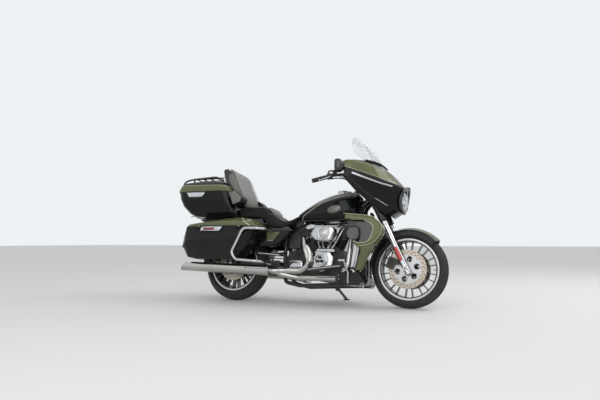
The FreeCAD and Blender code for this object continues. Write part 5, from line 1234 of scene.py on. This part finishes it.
# Hoses and lines about the engine: their points and radius
ENGINE_LINES = (
    ([(1226, -70, 300), (1180, -92, 262), (1120, -110, 236), (1040, -120, 226), (960, -124, 240)], 7),
    ([(1226, -50, 340), (1176, -60, 330), (1120, -90, 300), (1060, -120, 262)], 7),
    ([(650, -120, 420), (700, -150, 470), (760, -150, 500), (800, -120, 540)], 5),
    ([(640, -90, 610), (700, -120, 640), (770, -112, 672), (830, -70, 690)], 8),
    ([(560, -130, 300), (610, -146, 350), (640, -140, 420), (620, -120, 480)], 5),
    ([(1060, -60, 620), (1110, -90, 640), (1150, -70, 680), (1160, -40, 720)], 6),
    ([(1120, -110, 440), (1150, -140, 520), (1130, -130, 600), (1090, -100, 660)], 6),
    ([(1130, 120, 440), (1150, 150, 520), (1130, 140, 600), (1090, 110, 660)], 6),
    ([(700, 120, 600), (760, 140, 640), (840, 120, 668)], 6),
)


class CRUISER_OT_engine_details(bpy.types.Operator):
    """Head bolts, plug leads, tube collars, air cleaner and cover trim, filter, lines and wiring"""
    bl_idname = "cruiser.engine_details"
    bl_label = "Engine Details"

    def execute(self, context):
        with (drawing("rocker_panels", "black_metal", "engine_black") as panels,
              drawing("plug_leads", "rubber", "control_black") as leads,
              drawing("rocker_bolts", "steel", "engine_chrome") as heads):
            for lean in CYLINDER_LEANS:
                outline = [on_cylinder(a, b, lean) for a, b in ((-52, 333), (52, 333), (40, 343), (-40, 343))]
                holes = [on_cylinder(across, 324, lean) for across in (-54, -18, 18, 54)]
                for side in SIDES:
                    bolts(heads, [(x, side * 92.5, z) for x, z in holes], (0, side, 0), 4.6, 4.5)
                    draw_plug(leads, lean, side)
                    side_plate(panels, outline, side * 76, side * 79)
        with drawing("pushrod_collars", "chrome", "engine_chrome") as bm:
            for lean in CYLINDER_LEANS:
                draw_collars(bm, lean)
        x, z = CAM_COVER
        with drawing("cam_cover_screws", "steel", "engine_chrome") as bm:
            for degrees in (25, 72, 118, 162, 205, 250, 296, 340):
                bolts(bm, circle(1, 66, (x, -206.4, z), math.radians(degrees)), (0, -1, 0), 4.4)
            spun(bm, [(0, 48), (2.4, 47), (3.2, 44), (2.4, 41), (0, 40)], (x, -222, z), (0, -1, 0), 64)
        with drawing("cam_cover_inlay", "black_metal", "engine_black") as bm:
            for index in range(3):
                side_plate(bm, lobe(math.radians(90 + 120 * index)), -221, -222.8)
        x, z = AIR_CLEANER
        with drawing("air_cleaner_face", "chrome", "engine_chrome") as bm:
            spun(bm, [(0, 50), (4, 49), (6, 45), (6, 40), (3, 37), (3, 12), (5, 9), (6, 0.1)], (x, -300, z),
                 (0, -1, 0), 72)
        with drawing("air_cleaner_inner_ring", "steel", "engine_chrome") as bm:
            spun(bm, [(0, 39), (3.6, 38), (3.9, 20), (3.9, 16), (3.6, 15)], (x, -300.6, z), (0, -1, 0), 64)
        with drawing("intake_cover", "chrome", "engine_chrome", bevel=6) as bm:
            side_plate(bm, [(737, 647), (752, 674), (790, 686), (826, 682), (838, 660), (806, 648),
                            (770, 640)], -128, -162)
        with drawing("air_cleaner_screws", "steel", "engine_chrome") as bm:
            bolts(bm, circle(3, 8, (x, -305.6, z), math.radians(90)), (0, -1, 0), 2.6, 2.4)
            rim = ((890, 652), (1060, 640), (1012, 518), (893, 532), (842, 576))
            tube(bm, [(a + (x - a) * 0.02, -299.5, b + (z - b) * 0.02) for a, b in rim], 2.6, closed=True)
        with drawing("oil_filter", "black_metal", "engine_black") as bm:
            spun(bm, [(0, 0.1), (0, 34), (3, 38), (66, 38), (70, 36), (72, 20), (72, 0.1)], (1078, -60, 262),
                 (1, 0, 0), 40)
            for turn in turns(14):
                place = Vector((1146, -60 + 37 * math.cos(turn), 262 + 37 * math.sin(turn)))
                tube(bm, [place - Vector((20, 0, 0)), place], 2.2, 6)
        with drawing("engine_lines", "rubber", "control_black") as bm:
            for route, radius in ENGINE_LINES:
                rod(bm, route, radius, 7, 10)
        with drawing("throttle_housing", "plastic", "engine_black", bevel=8) as bm:
            side_plate(bm, [(612, 470), (612, 640), (700, 706), (838, 706), (852, 560), (800, 440),
                            (700, 420)], -46, 46)
            for low, high in ((-78, -50), (50, 78)):
                side_plate(bm, [(640, 520), (640, 620), (712, 680), (760, 660), (740, 540)], low, high)
        with drawing("neck_wiring", "rubber", "control_black") as bm:
            for y in (-34, -12, 12, 34):
                rod(bm, [(1296, y, 800), (1306, y, 740), (1300, y * 1.2, 670), (1270, y * 1.3, 610)], 10,
                    sides=10)
            side_plate(bm, [(1120, 690), (1130, 806), (1210, 812), (1290, 772), (1300, 700), (1210, 664)],
                       -42, 42)
        x, z = PRIMARY_COVER
        with drawing("primary_cover_trim", "chrome", "engine_chrome") as bm:
            bolts(bm, circle(12, 96, (x, 246.2, z)), (0, 1, 0), 4.4, 3.6)
            spun(bm, [(0, 76), (3, 75), (4, 70), (3, 66), (3.4, 20), (3.4, 0.1)], (x, 246, z), (0, 1, 0), 64)
            bolts(bm, circle(6, 66, (x, 249.6, z), 0.3), (0, 1, 0), 4.2, 3)
        with drawing("gearbox_screws", "steel", "engine_chrome") as bm:
            bolts(bm, [(x, -132.6, z) for x, z in ((600, 312), (640, 306), (690, 312), (600, 360), (650, 362),
                                                   (700, 356))], (0, -1, 0), 4.6)
        return {"FINISHED"}


# Ends of the right muffler's centre line, from front to rear
MUFFLER = ((468, 270, 262), (-455, 270, 290))


def clamp(bm, radius, length, at, along, steps, lip=0.0):
    """A band about a pipe, with a lip where it is pressed from sheet."""
    pressed = [(2, radius + lip), (length - 2, radius + lip)] if lip else []
    spun(bm, [(0, radius - 3), (0, radius), *pressed, (length, radius), (length, radius - 3)], at, along,
         steps)


class CRUISER_OT_exhaust_trim(bpy.types.Operator):
    """Clamps and heat shield of the exhaust"""
    bl_idname = "cruiser.exhaust_trim"
    bl_label = "Exhaust Trim"

    def execute(self, context):
        with drawing("exhaust_clamps", "steel", "exhaust_chrome") as bm:
            for side in SIDES:
                start, end = (Vector((x, side * y, z)) for x, y, z in MUFFLER)
                for share, radius in ((0.012, 45), (0.05, 44.6), (0.62, 44.8)):
                    clamp(bm, radius, 14, start.lerp(end, share), end - start, 48, 0.8)
                for share, out, size in ((0.626, 45.4, 6.5), (0.018, 45.8, 5.5)):
                    bolts(bm, [start.lerp(end, share) + Vector((0, side * out, 0))], (0, side, 0), size, 6)
            for at, along, radius in (((770, -40, 600), (-1, 0, -0.2), 26),
                                      ((1120, -40, 600), (1, 0, -0.2), 26),
                                      ((560, -259, 266), (-1, -0.1, 0), 27)):
                clamp(bm, radius, 12, at, along, 32)
        bm = bmesh.new()
        route = smooth_path([(765, -232, 476), (800, -232, 462), (822, -232, 410), (822, -232, 340)], 6)
        rings = []
        for index, point in enumerate(route):
            along = route[min(len(route) - 1, index + 1)] - route[max(0, index - 1)]
            across = along.normalized().cross(Vector((0, 1, 0))).normalized()
            rings.append([point + Vector((0, -27 * math.cos(turn), 0)) + across * (27 * math.sin(turn))
                          for turn in (math.radians(-80 + 160 * step / 12) for step in range(13))])
        skin(bm, rings, around=False)
        shield = piece("header_heat_shield", bm, "exhaust", "exhaust_chrome")
        shield.modifiers.new("Sheet", "SOLIDIFY").thickness = 0.0016
        return {"FINISHED"}


# Each rear lamp: its frame's corners, its distance from the centre line, and the ends of its inner lens
SIDE_LAMPS = (
    (((-176, 630), (34, 632), (2, 597), (-192, 597)), 405, (-163, -43)),
    (((-466, 986), (-257, 986), (-288, 946), (-431, 946)), 289, (-420, -330)),
)


def lens_rings(corners, y, ends, slant):
    """A lens that fills its frame between two ends, with a slanted front edge and a chamfered face."""
    x0, x1 = ends
    top = (corners[0][1] + corners[1][1]) / 2 - 5
    low = (corners[2][1] + corners[3][1]) / 2 + 5
    rear = max(x0, corners[0][0] + 8)
    outline = ((rear, top), (x1, top), (x1 - slant, low), (rear, low))
    middle = Vector(((x0 + x1) / 2, 0, (top + low) / 2))
    rings = []
    for lift, share in ((0.5, 1.0), (6.5, 0.99), (8, 0.93)):
        rings.append([middle + (Vector((x, 0, z)) - middle) * share + Vector((0, y + lift, 0))
                      for x, z in outline])
    return rings


class CRUISER_OT_rear_trim(bpy.types.Operator):
    """Lamps, latches, plate frame, trunk base, seat skirts, springs, rack strips, lid rails and speakers"""
    bl_idname = "cruiser.rear_trim"
    bl_label = "Rear Trim"

    def execute(self, context):
        with (drawing("lamp_clear_lenses", "clear_lens", "lamp_clear", mirrored=True) as clears,
              drawing("lamp_red_lenses", "red_lens", "lamp_red", mirrored=True) as reds,
              drawing("lamp_frames", "chrome", "trim_chrome", mirrored=True) as frames):
            for (corners, y, ends), centre in zip(SIDE_LAMPS, (reds, clears)):
                tube(frames, [(x, y + 5.5, z) for x, z in corners], 4.2, closed=True, flat=0.7)
                skin(centre, lens_rings(corners, y, ends, 0), caps=True)
                slant = (corners[1][0] - corners[2][0]) * 0.8
                skin(clears, lens_rings(corners, y, (ends[1], corners[1][0] - 8), slant), caps=True)
        with drawing("trunk_latches", "chrome", "trim_chrome", mirrored=True) as bm:
            for x in (-424, -279):
                tube(bm, [(x - 24, 202, 768), (x + 24, 204, 776)], 6, 10, flat=0.6)
            rod(bm, [(-430, 203, 770), (-352, 206, 763), (-279, 205, 757)], 4, 4, flat=0.6)
        with drawing("bag_seam_trim", "gloss_plastic", "bag_paint", mirrored=True) as bm:
            rod(bm, [(-300, 392, 643), (-200, 398, 646), (0, 401, 646), (180, 399, 644), (300, 390, 641)],
                2.6, 4, flat=0.6)
        with drawing("plate_frame", "chrome", "trim_chrome") as bm:
            tube(bm, [(-431.5, y, z) for y, z in ((-94, 468), (-94, 602), (94, 602), (94, 468))], 4,
                 closed=True)
            for y in (-62, 62):
                bolts(bm, [(-430.6, y, 588), (-430.6, y, 482)], (-1, 0, 0), 5)
        with drawing("plate_lamp", "red_lens", "lamp_red") as bm:
            spun(bm, [(0, 0.1), (0, 26), (3, 28), (18, 26), (22, 20), (22, 0.1)], (-420, 0, 640),
                 (-1, 0, 0.05), 40)
        with drawing("trunk_base", "plastic", "control_black", bevel=4) as bm:
            side_plate(bm, [(-372, 740), (-356, 752), (30, 752), (36, 738), (20, 730), (-340, 730)], -150,
                       150)
        with drawing("seat_skirts", "gloss_plastic", "control_black", mirrored=True, bevel=3) as bm:
            side_plate(bm, [(96, 660), (90, 746), (298, 746), (330, 668), (420, 668), (560, 672), (604, 640),
                            (600, 630), (302, 630)], 118, 149)
        with drawing("shock_springs", "chrome", "trim_chrome") as bm:
            for side in SIDES:
                coil(bm, Vector((70, side * 170, 345)), Vector((190, side * 170, 651)), 23.5, 4.4, 7, 20,
                     0.24, 0.56)
        with drawing("rack_strips", "rubber", "rack_black", "trunk_lid_body") as bm:
            for y in (-150, 150):
                bolts(bm, [(-478, y, 1164), (-150, y, 1164)], (0, 0, 1), 6)
            for y in (-120, -40, 40, 120):
                tube(bm, [(-470, y, 1166), (-160, y, 1166)], 3)
        rail = ((-578, 200, 1084), (-540, 214, 1118), (-470, 217, 1136), (-300, 217, 1146), (-190, 214, 1148),
                (-142, 205, 1118))
        for name, material, radius, lift in (("lid_rails", "gloss_plastic", 9, 0),
                                             ("lid_rail_trim", "silver", 3, 8)):
            with drawing(name, material, "rack_black", "trunk_lid_body", mirrored=True) as bm:
                rod(bm, [(x, y, z + lift) for x, y, z in rail], radius, 6, 12)
        with drawing("rear_speakers", "plastic", "control_black") as bm:
            for y in (-150, 150):
                speaker(bm, [(0, 52), (3, 52), (5, 48), (3, 46)], 46, (-6, y, 900), (1, 0, 0.1))
        return {"FINISHED"}


# The tops of the rider's and the passenger's boards: ends as (x, z), inner and outer rib, number of ribs,
# and how high they stand
BOARDS = (((862, 264), (1112, 296), 272, 370, 9, 15), ((384, 398), (590, 387), 270, 344, 7, 9))
BOARD_EDGES = (((850, 270), (1152, 306), 379), ((372, 404), (600, 392), 353))


def rubber_sleeve():
    """A ribbed rubber on a lever's peg, as (along, r) points."""
    profile = [(0, 0.1), (0, 12.4)]
    for rib in range(6):
        profile += [(6 + rib * 9, 12.4), (8 + rib * 9, 13.6), (11 + rib * 9, 13.6), (13 + rib * 9, 12.4)]
    return profile + [(62, 12.4), (62, 0.1)]


class CRUISER_OT_lower_trim(bpy.types.Operator):
    """Board and pedal rubbers, leg fairing trim, cooler fins and edges, and the stand's spring"""
    bl_idname = "cruiser.lower_trim"
    bl_label = "Lower Trim"

    def execute(self, context):
        with drawing("board_ribs", "rubber", "control_black", mirrored=True) as bm:
            for (x0, z0), (x1, z1), inner, outer, ribs, lift in BOARDS:
                for index in range(ribs):
                    y = inner + (outer - inner) * index / (ribs - 1)
                    for ends in ((0.04, 0.3), (0.36, 0.64), (0.7, 0.96)):
                        tube(bm, [(x0 + (x1 - x0) * share, y, z0 + (z1 - z0) * share + lift)
                                  for share in ends], 3.6)
        with drawing("board_edges", "chrome", "trim_chrome", mirrored=True) as bm:
            for (x0, z0), (x1, z1), y in BOARD_EDGES:
                rod(bm, [(x0, y - 24, z0), (x0 + 18, y - 3, z0 + 2), ((x0 + x1) / 2, y, (z0 + z1) / 2),
                         (x1 - 20, y - 3, z1 - 2), (x1, y - 24, z1)], 4)
        with drawing("pedal_rubbers", "rubber", "control_black") as bm:
            for index in range(5):
                x = 1128 + index * 11
                tube(bm, [(x, -366, 359), (x, -322, 359)], 3)
            for x, z in ((1170, 345), (940, 352)):
                spun(bm, rubber_sleeve(), (x, 292, z), (0, 1, 0), 24)
        with drawing("leg_fairing_pinstripe", "stripe", "body_paint", mirrored=True) as bm:
            rod(bm, [(1316, 334, 684), (1388, 334, 640), (1380, 334, 560), (1340, 334, 506), (1262, 334, 500),
                     (1240, 334, 520)], 2.4)
            rod(bm, [(1140, 333, 744), (1376, 333, 714), (1456, 333, 650), (1450, 333, 572), (1384, 333, 496),
                     (1254, 333, 468)], 2.0)
        with drawing("leg_pod_covers", "grey_panel", "control_black", mirrored=True) as bm:
            for index in range(11):
                z = 530 + index * 14
                tube(bm, [(1120, 288, z), (1160, 290, z)], 2.2, 6)
            spun(bm, [(0, 52), (3, 52), (6, 46), (4, 40), (4, 0.1)], (1221, 318, 578), (0, 1, 0), 48)
        with drawing("cooler_fins", "silver", "engine_black", smooth=False) as bm:
            for index in range(26):
                z = 186 + index * 8.4
                side_plate(bm, [(1299, z), (1302, z), (1302, z + 1.4), (1299, z + 1.4)], -92, 92)
        with drawing("cooler_edge", "silver", "engine_black", mirrored=True) as bm:
            rod(bm, [(1304, -97, 404), (1306, -97, 300), (1302, -97, 180), (1238, -97, 176)], 3)
        with drawing("stand_spring", "steel", "frame_black") as bm:
            coil(bm, Vector((950, 196, 150)), Vector((860, 196, 190)), 7, 1.6, 10, 12, sides=6)
        return {"FINISHED"}


# The stage, in metres and degrees
FLOOR_REACH = 60
LIGHT_SIZE = 4.0
LIGHT_AIM = Vector((0, 0, 0.6))
CAMERA_PLACE = (1.7188, -4.3004, 0.5485)
CAMERA_TURN = math.radians(22.55)
CAMERA_TILT = math.radians(4.765)


def make_floor():
    """A plain pale floor."""
    mesh = bpy.data.meshes.new("floor")
    corners = ((-1, -1), (1, -1), (1, 1), (-1, 1))
    mesh.from_pydata([(x * FLOOR_REACH, y * FLOOR_REACH, 0) for x, y in corners], [], [(0, 1, 2, 3)])
    floor = bpy.data.objects.new("floor", mesh)
    bpy.context.scene.collection.objects.link(floor)
    mesh.materials.append(blank_material("pale_floor", Base_Color=(0.66, 0.65, 0.63, 1), Roughness=0.9,
                                         Emission_Color=(1.0, 0.98, 0.96, 1), Emission_Strength=0.08)[0])


def make_world():
    """Soft light from all round, which is seen as white."""
    world = bpy.data.worlds.new("studio")
    world.use_nodes = True
    tree = world.node_tree
    lit = tree.nodes["Background"]
    lit.inputs["Color"].default_value = (0.80, 0.83, 0.87, 1)
    lit.inputs["Strength"].default_value = 0.85
    white = add_node(tree, "ShaderNodeBackground", {"Color": (0.86, 0.88, 0.9, 1), "Strength": 1.0})
    rays = tree.nodes.new("ShaderNodeLightPath").outputs
    seen = math_node(tree, "ADD", rays["Is Camera Ray"], rays["Is Glossy Ray"])
    seen = math_node(tree, "ADD", seen, rays["Is Transmission Ray"], clamp=True)
    mixed = add_node(tree, "ShaderNodeMixShader", {0: seen, 1: lit.outputs[0], 2: white.outputs[0]})
    feed(tree, tree.nodes["World Output"].inputs["Surface"], mixed.outputs[0])
    return world


def aim(obj, place, direction):
    """Puts a lamp or camera in its place, looking along a direction."""
    obj.location = place
    obj.rotation_mode = "QUATERNION"
    obj.rotation_quaternion = direction.to_track_quat("-Z", "Y")
    bpy.context.scene.collection.objects.link(obj)


class CRUISER_OT_stage(bpy.types.Operator):
    """Make the floor, the soft lights and the camera at the photograph's place"""
    bl_idname = "cruiser.stage"
    bl_label = "Stage"

    def execute(self, context):
        scene = context.scene
        settings = scene.cruiser_stage
        make_floor()
        scene.world = make_world()
        for name, place, power in (("key_light", (4.8, 1.6, 4.8), settings.key),
                                   ("fill_light", (1.0, -4.5, 2.8), settings.fill)):
            light = bpy.data.lights.new(name, "AREA")
            light.size = LIGHT_SIZE
            light.energy = power
            lamp = bpy.data.objects.new(name, light)
            lamp.visible_transmission = False
            aim(lamp, place, LIGHT_AIM - Vector(place))
        camera_data = bpy.data.cameras.new("photo_camera")
        camera_data.lens = settings.lens
        camera_data.sensor_width = 36
        camera = bpy.data.objects.new("photo_camera", camera_data)
        aim(camera, CAMERA_PLACE, Vector((-math.sin(CAMERA_TURN) * math.cos(CAMERA_TILT),
                                          math.cos(CAMERA_TURN) * math.cos(CAMERA_TILT),
                                          math.sin(CAMERA_TILT))))
        scene.camera = camera
        scene.view_settings.view_transform = "Standard"
        return {"FINISHED"}


class CRUISER_PT_panel(bpy.types.Panel):
    """The settings, and the buttons that build the machine's looks"""
    bl_idname = "CRUISER_PT_panel"
    bl_label = "Touring Cruiser"
    bl_space_type = "VIEW_3D"
    bl_region_type = "UI"
    bl_category = "Cruiser"

    def draw(self, context):
        for group_name in SETTINGS:
            settings = getattr(context.scene, group_name)
            for prop in settings.bl_rna.properties:
                if prop.identifier not in ("rna_type", "name"):
                    self.layout.prop(settings, prop.identifier)
        for operator in OPERATORS:
            self.layout.operator(operator.bl_idname)


SETTINGS = {"cruiser_paint": CruiserPaint, "cruiser_trim": CruiserTrim, "cruiser_stage": CruiserStage}
OPERATORS = (CRUISER_OT_materials, CRUISER_OT_frame_finishes, CRUISER_OT_cushions, CRUISER_OT_wheels,
             CRUISER_OT_front_end, CRUISER_OT_controls, CRUISER_OT_tank_trim, CRUISER_OT_engine_details,
             CRUISER_OT_exhaust_trim, CRUISER_OT_rear_trim, CRUISER_OT_lower_trim, CRUISER_OT_stage)
CLASSES = (*SETTINGS.values(), *OPERATORS, CRUISER_PT_panel)


def register():
    for cls in CLASSES:
        bpy.utils.register_class(cls)
    for name, cls in SETTINGS.items():
        setattr(bpy.types.Scene, name, PointerProperty(type=cls))


def unregister():
    for name in SETTINGS:
        delattr(bpy.types.Scene, name)
    for cls in reversed(CLASSES):
        bpy.utils.unregister_class(cls)


def main():
    register()
    for operator in OPERATORS:
        getattr(bpy.ops.cruiser, operator.bl_idname.split(".")[1])()


if __name__ == "__main__":
    main()
